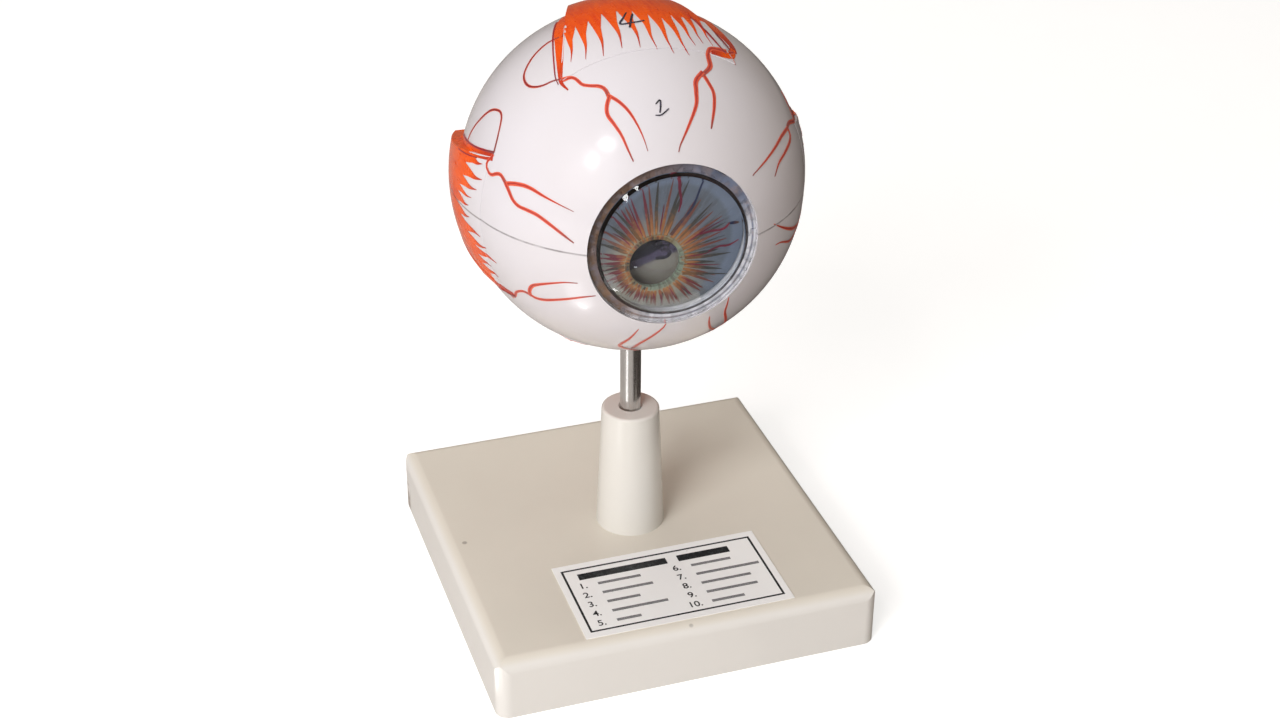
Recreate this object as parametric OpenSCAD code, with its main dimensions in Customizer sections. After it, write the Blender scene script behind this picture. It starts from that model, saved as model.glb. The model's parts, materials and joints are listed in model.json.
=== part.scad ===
// Take-apart model of the human eye, about five times life size, on a square stand.
// Origin: centre of the stand's underside. +Z up, the label and the cornea towards -Y.
// The eye's own pieces are drawn about the centre of the ball, with the cornea towards -Y.

/* [Base] */
// Width of the square base, left to right
base_w = 150; // [130:1:200]
// Depth of the square base, front to back
base_d = 150; // [130:1:200]
// Height of the base
base_h = 25; // [20:0.5:35]
// Radius of the base's upright corners and top edge
base_round = 5; // [2:0.5:8]
// Wall of the hollow base moulding
base_wall = 3; // [2:0.25:4]
// Thickness of the stiffening ribs under the base
rib_t = 2; // [1.5:0.25:3]
// Height that the ribs stop short of the table
rib_lift = 4; // [2:0.5:8]
// Diameter of the screw boss under the base
boss_d = 18; // [14:0.5:24]
// Depth of the screw boss below the top plate
boss_l = 13; // [8:0.5:14]

/* [Label] */
// Width of the printed label
label_w = 82; // [60:1:110]
// Depth of the printed label
label_d = 45.5; // [30:0.5:55]
// Thickness of the label film
label_t = 0.3; // [0.2:0.1:0.6]
// Distance from the base's front edge to the label
label_edge = 5; // [5:0.5:12]
// Sideways shift of the label from the middle
label_shift = 1.3; // [-5:0.1:5]

/* [Pillar] */
// Diameter of the pillar at its foot
pillar_foot_d = 26.8; // [24:0.2:36]
// Diameter of the pillar at its top
pillar_top_d = 22.4; // [20:0.2:24]
// Height of the pillar above the base
pillar_h = 52; // [48:1:80]
// Wall of the hollow pillar
pillar_wall = 2.4; // [1.6:0.2:3]
// Radius of the pillar's top edge
pillar_round = 1.2; // [0.5:0.1:2]
// Wall of the tube that holds the rod
tube_wall = 2.6; // [1.5:0.1:3]
// Solid roof of the pillar above its hollow
pillar_roof = 5; // [3:0.5:8]
// Width of the chamfer at the mouth of the rod hole
mouth_chamfer = 0.6; // [0.3:0.1:1]

/* [Screw] */
// Shank diameter of the screw that holds the pillar
screw_d = 4; // [3:0.5:5]
// Head diameter of the screw
screw_head_d = 8; // [6:0.5:10]
// Head height of the screw
screw_head_h = 2.6; // [2:0.2:4]
// Length of screw inside the pillar
screw_grip = 9; // [6:0.5:10]
// Clearance round the screw in the base
screw_clear = 0.3; // [0.2:0.1:0.5]

/* [Rod] */
// Diameter of the steel rod
rod_d = 8; // [6:0.5:9]
// Depth of the rod in the pillar
rod_seat = 38; // [25:1:38]
// Bare length of rod between pillar and ball
rod_show = 34.5; // [20:0.5:60]
// Radial running clearance of the rod in its holes
rod_clear = 0.06; // [0.02:0.01:0.1]
// Chamfer on the rod's ends
rod_chamfer = 0.6; // [0.2:0.1:1]
// Outer diameter of the bush in the ball
socket_d = 14; // [12:0.5:18]
// Roof of the bush above the rod
socket_roof = 1.8; // [1.2:0.2:2.4]

/* [Eyeball] */
// Outer diameter of the ball
eye_d = 125; // [122:0.5:132]
// Turn of the ball on its rod, seen from above
eye_turn = -3; // [-30:1:30]
// Thickness of the white outer shell
sclera_t = 4; // [3.4:0.1:5]
// Thickness of the choroid lining
choroid_t = 2.5; // [2:0.1:3]
// Thickness of the retina lining
retina_t = 1.2; // [0.8:0.1:1.6]
// Gap between a shell and the lining glued into it
lining_gap = 0.1; // [0.05:0.05:0.3]
// Distance from the ball's centre to the front edge of the retina
retina_front = 33; // [25:1:38]

/* [Seam] */
// Thickness of the locating tongue on the lower half's rim
tongue_t = 1.4; // [1:0.1:1.6]
// Height of the tongue
tongue_h = 1.8; // [1:0.1:3]
// Clearance round the tongue in its groove
tongue_clear = 0.25; // [0.15:0.05:0.4]
// Width of the chamfer on each half's edge at the seam
seam_chamfer = 0.25; // [0.1:0.05:0.5]

/* [Cornea] */
// Outer diameter of the cornea's flange
flange_d = 60.2; // [57:0.2:62]
// Thickness of the flange
flange_t = 1.5; // [1:0.1:2]
// Depth of the flange's seat below the ball's surface
flange_sink = 2; // [1.5:0.1:2.5]
// Outer diameter of the skirt behind the flange
skirt_d = 53; // [50:0.2:54]
// Length of the skirt
skirt_l = 3.1; // [2.5:0.1:3.6]
// Wall of the skirt
skirt_t = 1.1; // [0.8:0.1:1.4]
// Outer radius of curvature of the clear dome
dome_r = 39; // [34:0.5:48]
// Diameter of the dome where it meets the flange
dome_d = 54; // [50:0.2:56]
// Wall of the dome
dome_t = 1.5; // [1:0.1:2]
// Clearance round the cornea in the ball
cornea_clear = 0.3; // [0.2:0.05:0.5]
// Width of the collar that backs the cornea's seat
collar_t = 4.2; // [3:0.1:5]

/* [Iris] */
// Thickness of the iris disc
iris_t = 1.2; // [0.8:0.1:1.5]
// Distance of the iris from the back of the skirt
iris_inset = 0.4; // [0.2:0.1:0.8]
// Radial fit of the iris in the skirt
iris_fit = 0.1; // [0.05:0.01:0.15]
// Diameter of the pupil
pupil_d = 18; // [12:0.5:22]
// Sideways place of the pupil on the iris
pupil_x = -5.6; // [-7:0.1:7]
// Height of the pupil on the iris
pupil_z = -7.6; // [-8:0.1:8]
// Width of the raised rim round the pupil
pupil_rim_w = 1.6; // [1:0.1:2.4]
// Height of the raised rim round the pupil
pupil_rim_h = 0.4; // [0.2:0.1:0.8]

/* [Lens] */
// Diameter of the lens
lens_d = 47; // [42:0.5:49]
// Radius of the lens's front face
lens_front_r = 50; // [40:1:60]
// Radius of the lens's back face
lens_back_r = 30; // [27:0.5:36]
// Thickness of the lens at its rim
lens_rim = 1.2; // [0.8:0.1:2]
// Distance from the back of the skirt to the lens
lens_gap = 0.3; // [0.2:0.1:1]

/* [Ciliary body] */
// Clearance between the lens and the ciliary ring
ciliary_clear = 0.7; // [0.4:0.1:1.2]
// Depth of the ciliary ring, front to back
ciliary_l = 9; // [7:0.5:11]
// Depth of the ring at its inner edge
ciliary_edge = 4; // [2:0.5:5]
// Number of ridges round the ring
process_n = 60; // [36:6:72]
// Width of one ridge
process_w = 0.9; // [0.6:0.1:1.2]
// Height of one ridge above the ring
process_h = 1.2; // [0.6:0.1:1.6]

/* [Vitreous] */
// Gap between the vitreous ball and the retina
vitreous_gap = 0.3; // [0.2:0.05:0.6]
// Gap between the vitreous and the lens in its hollow
fossa_gap = 0.3; // [0.2:0.05:0.6]

/* [Muscles] */
// Width of the upper and lower muscles at their front end
vertical_front_w = 62; // [50:1:66]
// Width of the upper and lower muscles at their rear end
vertical_rear_w = 30; // [20:1:36]
// Front end of the upper and lower muscles, ahead of the ball's centre
vertical_front = 22; // [16:1:26]
// Thickness of the upper and lower muscles at their front end
vertical_front_t = 0.35; // [0.3:0.05:1]
// Thickness of the upper and lower muscles at their rear end
vertical_rear_t = 3.8; // [2:0.1:5]
// Width of the side muscles at their front end
side_front_w = 53; // [40:1:58]
// Width of the side muscles at their rear end
side_rear_w = 28; // [20:1:34]
// Front end of the side muscles, ahead of the ball's centre
side_front = 19; // [12:1:24]
// Thickness of the side muscles at their front end
side_front_t = 0.4; // [0.3:0.05:1]
// Thickness of the side muscles at their rear end
side_rear_t = 6.2; // [3:0.1:7]
// Drop of the side muscles' middle below the seam
side_drop = 3; // [0:0.5:6]
// Distance from the ball's centre back to the muscles' cut ends
muscle_rear = 39; // [30:1:42]

/* [Optic nerve] */
// Angle of the nerve to the eye's axis, towards the nose
nerve_angle = 15; // [8:1:20]
// Outer diameter of the nerve's sheath
nerve_d = 20; // [16:0.5:22]
// Wall of the nerve's sheath
sheath_t = 2; // [1.5:0.1:2.5]
// Length of the nerve's stump outside the ball
nerve_l = 12; // [6:0.5:12]
// Diameter of the nerve head, the blind spot
disc_d = 9; // [7:0.2:11]
// Diameter of the central artery and vein
vessel_d = 2; // [1.4:0.1:2.4]
// Distance between the central artery and vein
vessel_pitch = 3.8; // [3:0.1:5]
// Clearance between the nerve's pieces and their holes
nerve_fit = 0.1; // [0.05:0.05:0.3]

/* [Hidden] */
$fn = 128;
eps = 0.01;

// Stand, from the table up
boss_z = base_h - base_wall - boss_l;
pillar_z = base_h;
rod_z = pillar_z + pillar_h - rod_seat;
rod_r = rod_d / 2;
rod_hole_r = rod_r + rod_clear;

// Radii of the nested shells
eye_r = eye_d / 2;
sclera_in = eye_r - sclera_t;
choroid_out = sclera_in - lining_gap;
choroid_in = choroid_out - choroid_t;
retina_out = choroid_in - lining_gap;
retina_in = retina_out - retina_t;
vitreous_r = retina_in - vitreous_gap;
eye_z = pillar_z + pillar_h + rod_show + eye_r;
big = 2 * eye_d;

// Bush in the bottom of the ball
socket_r = socket_d / 2;
socket_top = -vitreous_r - vitreous_gap;
socket_bottom = -sqrt(pow(eye_r, 2) - pow(socket_r, 2));
rod_top = socket_top - socket_roof;

// Distances forward from the ball's centre along the eye's axis
seat_r = flange_d / 2 + cornea_clear;
port_r = skirt_d / 2 + cornea_clear;
collar_r = port_r + collar_t;
flange_back = sqrt(pow(eye_r, 2) - pow(seat_r, 2)) - flange_sink;
flange_front = flange_back + flange_t;
skirt_back = flange_back - skirt_l;
dome_centre = flange_front - sqrt(pow(dome_r, 2) - pow(dome_d / 2, 2));
iris_back = skirt_back + iris_inset;
iris_r = skirt_d / 2 - skirt_t - iris_fit;
lens_r = lens_d / 2;
lens_front = skirt_back - lens_gap;
front_bulge = lens_front_r - sqrt(pow(lens_front_r, 2) - pow(lens_r, 2));
back_bulge = lens_back_r - sqrt(pow(lens_back_r, 2) - pow(lens_r, 2));
lens_back = lens_front - front_bulge - lens_rim - back_bulge;
lens_back_centre = lens_back + lens_back_r;
ciliary_front = skirt_back - lining_gap;
ciliary_back = skirt_back - ciliary_l;
ciliary_r = lens_r + ciliary_clear;
ciliary_reach = 0.68;
vitreous_front = ciliary_back - vitreous_gap;

// Tongue in the middle of the shell's wall
tongue_in = eye_r - sclera_t / 2 - tongue_t / 2;
tongue_out = tongue_in + tongue_t;

// Nerve
nerve_r = nerve_d / 2;
core_r = nerve_r - sheath_t - nerve_fit;
neck_r = disc_d / 2;
nerve_front = choroid_out + lining_gap;
nerve_end = eye_r + nerve_l;
disc_front = retina_in + lining_gap;

// ---- Frames and cutters ----

// Moves a shape drawn about the ball's centre to its place on the rod
module in_eye() {
    translate([0, 0, eye_z])
        rotate([0, 0, eye_turn])
            children();
}

// Turns a shape drawn upwards so that it points along the eye's axis, to the front
module to_front() {
    rotate([90, 0, 0])
        children();
}

// Turns a shape drawn upwards so that it points along the optic nerve, to the back
module to_nerve() {
    rotate([0, 0, -nerve_angle])
        rotate([-90, 0, 0])
            children();
}

module upper_side() {
    intersection() {
        children();
        translate([-big / 2, -big / 2, 0])
            cube([big, big, big / 2]);
    }
}

module lower_side() {
    intersection() {
        children();
        translate([-big / 2, -big / 2, -big / 2])
            cube([big, big, big / 2]);
    }
}

module shell(outer, inner) {
    difference() {
        sphere(r = outer);
        sphere(r = inner);
    }
}

// ---- Stand ----

// Outline of the base seen from above
module base_outline(w, d, r) {
    square([w - 2 * r, d], center = true);
    square([w, d - 2 * r], center = true);
    for (x = [-1, 1], y = [-1, 1])
        translate([x * (w / 2 - r), y * (d / 2 - r)])
            circle(r = r);
}

// Outline of the base seen from one side, with rounded top edges
module side_outline(w, h, r) {
    translate([-w / 2, 0])
        square([w, h - r]);
    translate([-w / 2 + r, 0])
        square([w - 2 * r, h]);
    for (x = [-1, 1])
        translate([x * (w / 2 - r), h - r])
            circle(r = r);
}

module rounded_slab(w, d, h, r) {
    intersection() {
        linear_extrude(h)
            base_outline(w, d, r);
        rotate([90, 0, 0])
            linear_extrude(d, center = true)
                side_outline(w, h, r);
        rotate([90, 0, 90])
            linear_extrude(w, center = true)
                side_outline(d, h, r);
    }
}

// Cross of ribs under the top plate, through the screw boss
module base_ribs() {
    rib_h = base_h - base_wall - rib_lift + eps;
    translate([0, 0, rib_lift + rib_h / 2]) {
        cube([base_w - base_wall, rib_t, rib_h], center = true);
        cube([rib_t, base_d - base_wall, rib_h], center = true);
    }
    translate([0, 0, boss_z])
        cylinder(d = boss_d, h = boss_l + eps);
}

module base_plate() {
    color("tan")
        difference() {
            union() {
                difference() {
                    rounded_slab(base_w, base_d, base_h, base_round);
                    translate([0, 0, -eps])
                        linear_extrude(base_h - base_wall + eps)
                            base_outline(base_w - 2 * base_wall, base_d - 2 * base_wall,
                                         max(base_round - base_wall, 0.5));
                }
                base_ribs();
            }
            translate([0, 0, -eps])
                cylinder(r = screw_d / 2 + screw_clear, h = base_h + 1);
            translate([0, 0, -eps])
                cylinder(r = screw_head_d / 2 + screw_clear, h = boss_z + eps);
        }
}

module label_plate() {
    color("white")
        translate([label_shift - label_w / 2, -base_d / 2 + label_edge, base_h])
            cube([label_w, label_d, label_t]);
}

// Half profile of the solid pillar
module pillar_profile() {
    polygon([
        [0, 0],
        [pillar_foot_d / 2, 0],
        [pillar_top_d / 2, pillar_h - pillar_round],
        [pillar_top_d / 2 - pillar_round, pillar_h],
        [0, pillar_h]
    ]);
    translate([pillar_top_d / 2 - pillar_round, pillar_h - pillar_round])
        circle(r = pillar_round);
}

// Half profile that the webs fill, from the tube to the middle of the wall and roof
module web_profile() {
    polygon([
        [0, 0],
        [(pillar_foot_d - pillar_wall) / 2, 0],
        [(pillar_top_d - pillar_wall) / 2, pillar_h - pillar_roof / 2],
        [0, pillar_h - pillar_roof / 2]
    ]);
}

// Half profile of the space between the pillar's wall and the rod's tube
module pillar_hollow() {
    tube_r = rod_hole_r + tube_wall;
    polygon([
        [tube_r, -eps],
        [pillar_foot_d / 2 - pillar_wall, -eps],
        [pillar_top_d / 2 - pillar_wall, pillar_h - pillar_roof],
        [tube_r, pillar_h - pillar_roof]
    ]);
}

module pillar() {
    color("ivory")
        translate([0, 0, pillar_z])
            difference() {
                union() {
                    rotate_extrude()
                        difference() {
                            pillar_profile();
                            pillar_hollow();
                        }
                    // Four webs from the tube to the wall
                    intersection() {
                        rotate_extrude()
                            web_profile();
                        translate([0, 0, pillar_h / 2])
                            for (a = [0, 90])
                                rotate([0, 0, a])
                                    cube([pillar_foot_d, rib_t, pillar_h], center = true);
                    }
                }
                translate([0, 0, pillar_h - rod_seat])
                    cylinder(r = rod_hole_r, h = rod_seat + 1);
                translate([0, 0, pillar_h - mouth_chamfer])
                    cylinder(r1 = rod_hole_r, r2 = rod_hole_r + mouth_chamfer, h = mouth_chamfer + eps);
                translate([0, 0, -eps])
                    cylinder(d = screw_d, h = screw_grip + 1);
            }
}

module pillar_screw() {
    color("silver")
        translate([0, 0, boss_z])
            difference() {
                union() {
                    cylinder(d = screw_d, h = boss_l + base_wall + screw_grip);
                    translate([0, 0, -screw_head_h])
                        cylinder(d1 = screw_head_d * 0.8, d2 = screw_head_d, h = screw_head_h);
                }
                // Cross slot in the head
                for (a = [0, 90])
                    translate([0, 0, -screw_head_h])
                        rotate([0, 0, a])
                            cube([screw_head_d * 0.6, screw_head_d * 0.14, screw_head_h], center = true);
            }
}

// ---- Rod and its bush ----

module support_rod() {
    rod_l = eye_z + rod_top - rod_z;
    color("silver")
        translate([0, 0, rod_z])
            rotate_extrude()
                polygon([
                    [0, 0],
                    [rod_r - rod_chamfer, 0],
                    [rod_r, rod_chamfer],
                    [rod_r, rod_l - rod_chamfer],
                    [rod_r - rod_chamfer, rod_l],
                    [0, rod_l]
                ]);
}

module rod_socket() {
    color("gainsboro")
        in_eye()
            difference() {
                translate([0, 0, socket_bottom])
                    cylinder(r = socket_r, h = socket_top - socket_bottom);
                translate([0, 0, socket_bottom - eps])
                    cylinder(r = rod_hole_r, h = rod_top - socket_bottom + eps);
            }
}

// Hole for the bush through the lower muscle, the lower half and its linings
module socket_hole() {
    hole_l = vertical_rear_t + sclera_t + choroid_t + retina_t + 4;
    translate([0, 0, -eye_r - vertical_rear_t - 1])
        cylinder(r = socket_r + nerve_fit, h = hole_l);
}

// ---- White shell ----

// Shell with the thickened collar behind the cornea's seat
module sclera_body() {
    shell(eye_r, sclera_in);
    intersection() {
        sphere(r = eye_r - sclera_t / 4);
        to_front()
            translate([0, 0, skirt_back])
                cylinder(r = collar_r, h = eye_r);
    }
}

// Opening for the cornea, with the step that its flange sits in
module cornea_port() {
    to_front() {
        translate([0, 0, skirt_back - 2 * sclera_t])
            cylinder(r = port_r, h = eye_r);
        translate([0, 0, flange_back])
            cylinder(r = seat_r, h = eye_r);
    }
}

module nerve_port(r) {
    to_nerve()
        translate([0, 0, sclera_in - sclera_t * 2])
            cylinder(r = r + nerve_fit, h = eye_r);
}

// Ring in the seam; it grows by the clearance to make the groove
module seam_ring(grow) {
    rotate_extrude()
        translate([tongue_in - grow, -grow - 1])
            square([tongue_t + 2 * grow, tongue_h + 2 * grow + 1]);
}

// Cuts the chamfer on the lower half's edge at the seam
module seam_edge() {
    rotate_extrude()
        polygon([
            [eye_r - seam_chamfer - 0.5, 0.5],
            [eye_r + 1, -seam_chamfer - 1],
            [eye_r + 1, 0.5]
        ]);
}

module sclera_lower() {
    color("whitesmoke")
        in_eye()
            difference() {
                union() {
                    lower_side()
                        sclera_body();
                    seam_ring(0);
                }
                seam_edge();
                cornea_port();
                nerve_port(nerve_r);
                socket_hole();
            }
}

module sclera_upper() {
    color("whitesmoke")
        in_eye()
            difference() {
                upper_side()
                    sclera_body();
                seam_ring(tongue_clear);
                mirror([0, 0, 1])
                    seam_edge();
                cornea_port();
                nerve_port(nerve_r);
            }
}

// ---- Linings ----

// Everything forward of a plane square to the eye's axis
module ahead_of(h) {
    to_front()
        translate([0, 0, h])
            cylinder(r = eye_r, h = eye_r);
}

module choroid_body() {
    difference() {
        shell(choroid_out, choroid_in);
        ahead_of(ciliary_front);
        nerve_port(neck_r);
    }
}

module choroid_lower() {
    color("sienna")
        in_eye()
            difference() {
                lower_side()
                    choroid_body();
                socket_hole();
            }
}

module choroid_upper() {
    color("sienna")
        in_eye()
            upper_side()
                choroid_body();
}

module retina_body() {
    difference() {
        shell(retina_out, retina_in);
        ahead_of(retina_front);
        nerve_port(neck_r);
    }
}

module retina_lower() {
    color("goldenrod")
        in_eye()
            difference() {
                lower_side()
                    retina_body();
                socket_hole();
            }
}

module retina_upper() {
    color("goldenrod")
        in_eye()
            upper_side()
                retina_body();
}

// ---- Ciliary ring with its ridges ----

// Half profile: it lies against the choroid and thins out towards the back
module ciliary_profile() {
    slope_h = ciliary_front - ciliary_edge;
    difference() {
        intersection() {
            circle(r = choroid_in - lining_gap);
            translate([ciliary_r, ciliary_back])
                square([eye_r, ciliary_front - ciliary_back]);
        }
        polygon([
            [0, slope_h],
            [ciliary_r, slope_h],
            [choroid_in * ciliary_reach, ciliary_back],
            [choroid_in * ciliary_reach, ciliary_back - 1],
            [0, ciliary_back - 1]
        ]);
    }
}

// One ridge on the ring's sloping back face, standing in the plane of the eye's axis
module ciliary_process() {
    foot_h = ciliary_front - ciliary_edge;
    tip_r = ciliary_r + (choroid_in * ciliary_reach - ciliary_r) * 0.8;
    tip_h = foot_h - (foot_h - ciliary_back) * 0.8;
    rotate([90, 0, 0])
        linear_extrude(process_w, center = true)
            polygon([
                [ciliary_r, foot_h + ciliary_edge / 3],
                [ciliary_r, foot_h],
                [ciliary_r + process_h / 2, foot_h - process_h],
                [tip_r, tip_h],
                [tip_r, tip_h + process_h / 2]
            ]);
}

module ciliary_half() {
    to_front() {
        rotate_extrude(angle = 180)
            ciliary_profile();
        for (k = [0 : process_n / 2 - 1])
            rotate([0, 0, (k + 0.5) * 360 / process_n])
                ciliary_process();
    }
}

module ciliary_ring_lower() {
    color("saddlebrown")
        in_eye()
            mirror([0, 0, 1])
                ciliary_half();
}

module ciliary_ring_upper() {
    color("saddlebrown")
        in_eye()
            ciliary_half();
}

// ---- Straight muscles ----

// Outline of a muscle seen from outside, its front end towards -Y and its cut end round
module rectus_outline(front_w, rear_w, front, rear) {
    polygon([
        [-front_w / 2, -front],
        [front_w / 2, -front],
        [rear_w / 2, rear - rear_w / 4],
        [-rear_w / 2, rear - rear_w / 4]
    ]);
    translate([0, rear - rear_w / 4])
        scale([1, 0.5])
            circle(d = rear_w);
}

// Strap on top of the ball. Its outer face is a sphere set back from the ball's centre,
// so that the strap swells from its tendon in front to its belly behind.
module rectus(front_w, rear_w, front, front_t, rear_t, shift) {
    set_back = (rear_t - front_t) * eye_r / (front + muscle_rear);
    swell_r = eye_r + front_t + set_back * front / eye_r;
    difference() {
        intersection() {
            translate([0, set_back, 0])
                sphere(r = swell_r);
            translate([shift, 0, 0])
                linear_extrude(eye_d)
                    rectus_outline(front_w, rear_w, front, muscle_rear);
        }
        sphere(r = eye_r);
    }
}

module vertical_rectus() {
    rectus(vertical_front_w, vertical_rear_w, vertical_front, vertical_front_t, vertical_rear_t, 0);
}

// Muscle on the ball's -X side for side = 1, and on its +X side for side = -1
module side_rectus(side) {
    rotate([0, -90 * side, 0])
        rectus(side_front_w, side_rear_w, side_front, side_front_t, side_rear_t, -side_drop * side);
}

module superior_rectus() {
    color("orangered")
        in_eye()
            vertical_rectus();
}

module inferior_rectus() {
    color("orangered")
        in_eye()
            difference() {
                rotate([0, 180, 0])
                    vertical_rectus();
                socket_hole();
            }
}

module lateral_rectus_upper() {
    color("orangered")
        in_eye()
            upper_side()
                side_rectus(1);
}

module lateral_rectus_lower() {
    color("orangered")
        in_eye()
            lower_side()
                side_rectus(1);
}

module medial_rectus_upper() {
    color("orangered")
        in_eye()
            upper_side()
                side_rectus(-1);
}

module medial_rectus_lower() {
    color("orangered")
        in_eye()
            lower_side()
                side_rectus(-1);
}

// ---- Optic nerve ----

module nerve_sheath() {
    color("khaki")
        in_eye()
            to_nerve()
                translate([0, 0, nerve_front])
                    difference() {
                        cylinder(r = nerve_r, h = nerve_end - nerve_front);
                        translate([0, 0, -1])
                            cylinder(r = nerve_r - sheath_t, h = nerve_end - nerve_front + 2);
                    }
}

// Places for the artery and the vein, one above the other
module vessel_pair(r, from, to) {
    for (s = [-1, 1])
        translate([0, s * vessel_pitch / 2, from])
            cylinder(r = r, h = to - from);
}

module nerve_fibres() {
    color("lightyellow")
        in_eye()
            to_nerve()
                difference() {
                    union() {
                        translate([0, 0, nerve_front])
                            cylinder(r = core_r, h = nerve_end - nerve_front);
                        translate([0, 0, disc_front])
                            cylinder(r = neck_r, h = nerve_front - disc_front + eps);
                    }
                    vessel_pair(vessel_d / 2 + nerve_fit / 2, disc_front - 1, nerve_end + 1);
                }
}

module central_vessels() {
    color("firebrick")
        in_eye()
            to_nerve()
                vessel_pair(vessel_d / 2, disc_front, nerve_end + nerve_fit);
}

// ---- Pieces on the eye's axis ----

// Half profile of the clear cap: dome, flange and skirt
module cornea_profile() {
    difference() {
        union() {
            intersection() {
                translate([0, dome_centre])
                    circle(r = dome_r);
                translate([0, flange_back])
                    square([eye_r, eye_r]);
            }
            translate([0, flange_back])
                square([flange_d / 2, flange_t]);
            translate([0, skirt_back])
                square([skirt_d / 2, skirt_l + eps]);
        }
        intersection() {
            translate([0, dome_centre])
                circle(r = dome_r - dome_t);
            translate([-eye_r, flange_front])
                square([eye_r * 2, eye_r]);
        }
        translate([-1, skirt_back - 1])
            square([skirt_d / 2 - skirt_t + 1, flange_front - skirt_back + 1 + eps]);
    }
}

module cornea() {
    color("lightcyan", 0.4)
        in_eye()
            to_front()
                rotate_extrude()
                    cornea_profile();
}

module iris() {
    color("steelblue")
        in_eye()
            to_front()
                translate([0, 0, iris_back])
                    difference() {
                        union() {
                            cylinder(r = iris_r, h = iris_t);
                            translate([pupil_x, pupil_z, 0])
                                cylinder(d = pupil_d + 2 * pupil_rim_w, h = iris_t + pupil_rim_h);
                        }
                        translate([pupil_x, pupil_z, -1])
                            cylinder(d = pupil_d, h = iris_t + pupil_rim_h + 2);
                    }
}

module lens() {
    color("aliceblue", 0.5)
        in_eye()
            to_front()
                intersection() {
                    translate([0, 0, lens_front - lens_front_r])
                        sphere(r = lens_front_r);
                    translate([0, 0, lens_back_centre])
                        sphere(r = lens_back_r);
                    translate([0, 0, lens_back - 1])
                        cylinder(r = lens_r, h = lens_front - lens_back + 2);
                }
}

// Half profile of the ball, cut off flat in front and hollowed for the lens
module vitreous_profile() {
    difference() {
        intersection() {
            circle(r = vitreous_r);
            translate([0, -vitreous_r])
                square([vitreous_r, vitreous_r + vitreous_front]);
        }
        translate([0, lens_back_centre])
            circle(r = lens_back_r + fossa_gap);
    }
}

module vitreous() {
    color("azure", 0.35)
        in_eye()
            to_front()
                rotate_extrude()
                    vitreous_profile();
}

base_plate();
pillar();
pillar_screw();
label_plate();
support_rod();
rod_socket();
sclera_lower();
sclera_upper();
choroid_lower();
choroid_upper();
retina_lower();
retina_upper();
ciliary_ring_lower();
ciliary_ring_upper();
superior_rectus();
inferior_rectus();
lateral_rectus_upper();
lateral_rectus_lower();
medial_rectus_upper();
medial_rectus_lower();
nerve_sheath();
nerve_fibres();
central_vessels();
cornea();
iris();
lens();
vitreous();
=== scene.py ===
"""Dresses the take-apart eye model: lacquer, brush paint, print, metal and clear plastic over the frame."""

import json
import math
import random

import bmesh
import bpy
from bpy.props import FloatProperty, FloatVectorProperty, IntProperty
from mathutils import Matrix, Quaternion, Vector
from mathutils.bvhtree import BVHTree


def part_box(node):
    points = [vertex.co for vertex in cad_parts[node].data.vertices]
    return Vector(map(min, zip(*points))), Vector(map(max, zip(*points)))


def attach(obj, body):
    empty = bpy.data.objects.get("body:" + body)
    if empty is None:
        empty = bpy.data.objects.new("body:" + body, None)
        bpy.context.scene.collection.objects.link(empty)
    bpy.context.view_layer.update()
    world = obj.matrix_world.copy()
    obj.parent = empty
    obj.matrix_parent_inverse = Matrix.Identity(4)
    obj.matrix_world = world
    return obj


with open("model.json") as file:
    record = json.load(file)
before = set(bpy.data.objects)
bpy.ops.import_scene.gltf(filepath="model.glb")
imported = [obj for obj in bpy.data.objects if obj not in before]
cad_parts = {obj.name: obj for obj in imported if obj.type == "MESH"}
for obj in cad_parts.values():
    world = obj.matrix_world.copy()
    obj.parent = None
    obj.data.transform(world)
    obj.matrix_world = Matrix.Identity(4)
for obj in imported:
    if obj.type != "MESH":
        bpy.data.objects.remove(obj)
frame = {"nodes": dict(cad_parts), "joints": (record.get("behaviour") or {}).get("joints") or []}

bl_info = {
    "name": "Eye model dressing",
    "version": (1, 0, 0),
    "blender": (4, 5, 0),
    "location": "View3D > Sidebar > Eye model",
    "description": "Paints, prints and finishes the pieces of a take-apart eye model",
    "category": "Object",
}


MM = 0.001
NODES = frame["nodes"]
EYE = Vector((0, 0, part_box("sclera_upper")[0].z))
JOINTS = {joint["name"]: joint for joint in frame["joints"]}
AXIS = Vector(JOINTS["cornea_pull"]["axis"]).normalized()
UP = Vector((0, 0, 1))
SIDEWAYS = UP.cross(AXIS).normalized()
EYE_TURN = math.atan2(AXIS.x, -AXIS.y)
BALL_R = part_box("sclera_upper")[1].z - EYE.z
BASE_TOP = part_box("base_plate")[1].z
NERVE = (sum((v.co for v in NODES["nerve_fibres"].data.vertices), Vector())
         / len(NODES["nerve_fibres"].data.vertices) - EYE).normalized()


# ---- What a user would change ----

def tint(name, description, value):
    """A colour setting of the sidebar."""
    return FloatVectorProperty(name=name, description=description, default=value,
                               subtype="COLOR", size=3, min=0, max=1)


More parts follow.
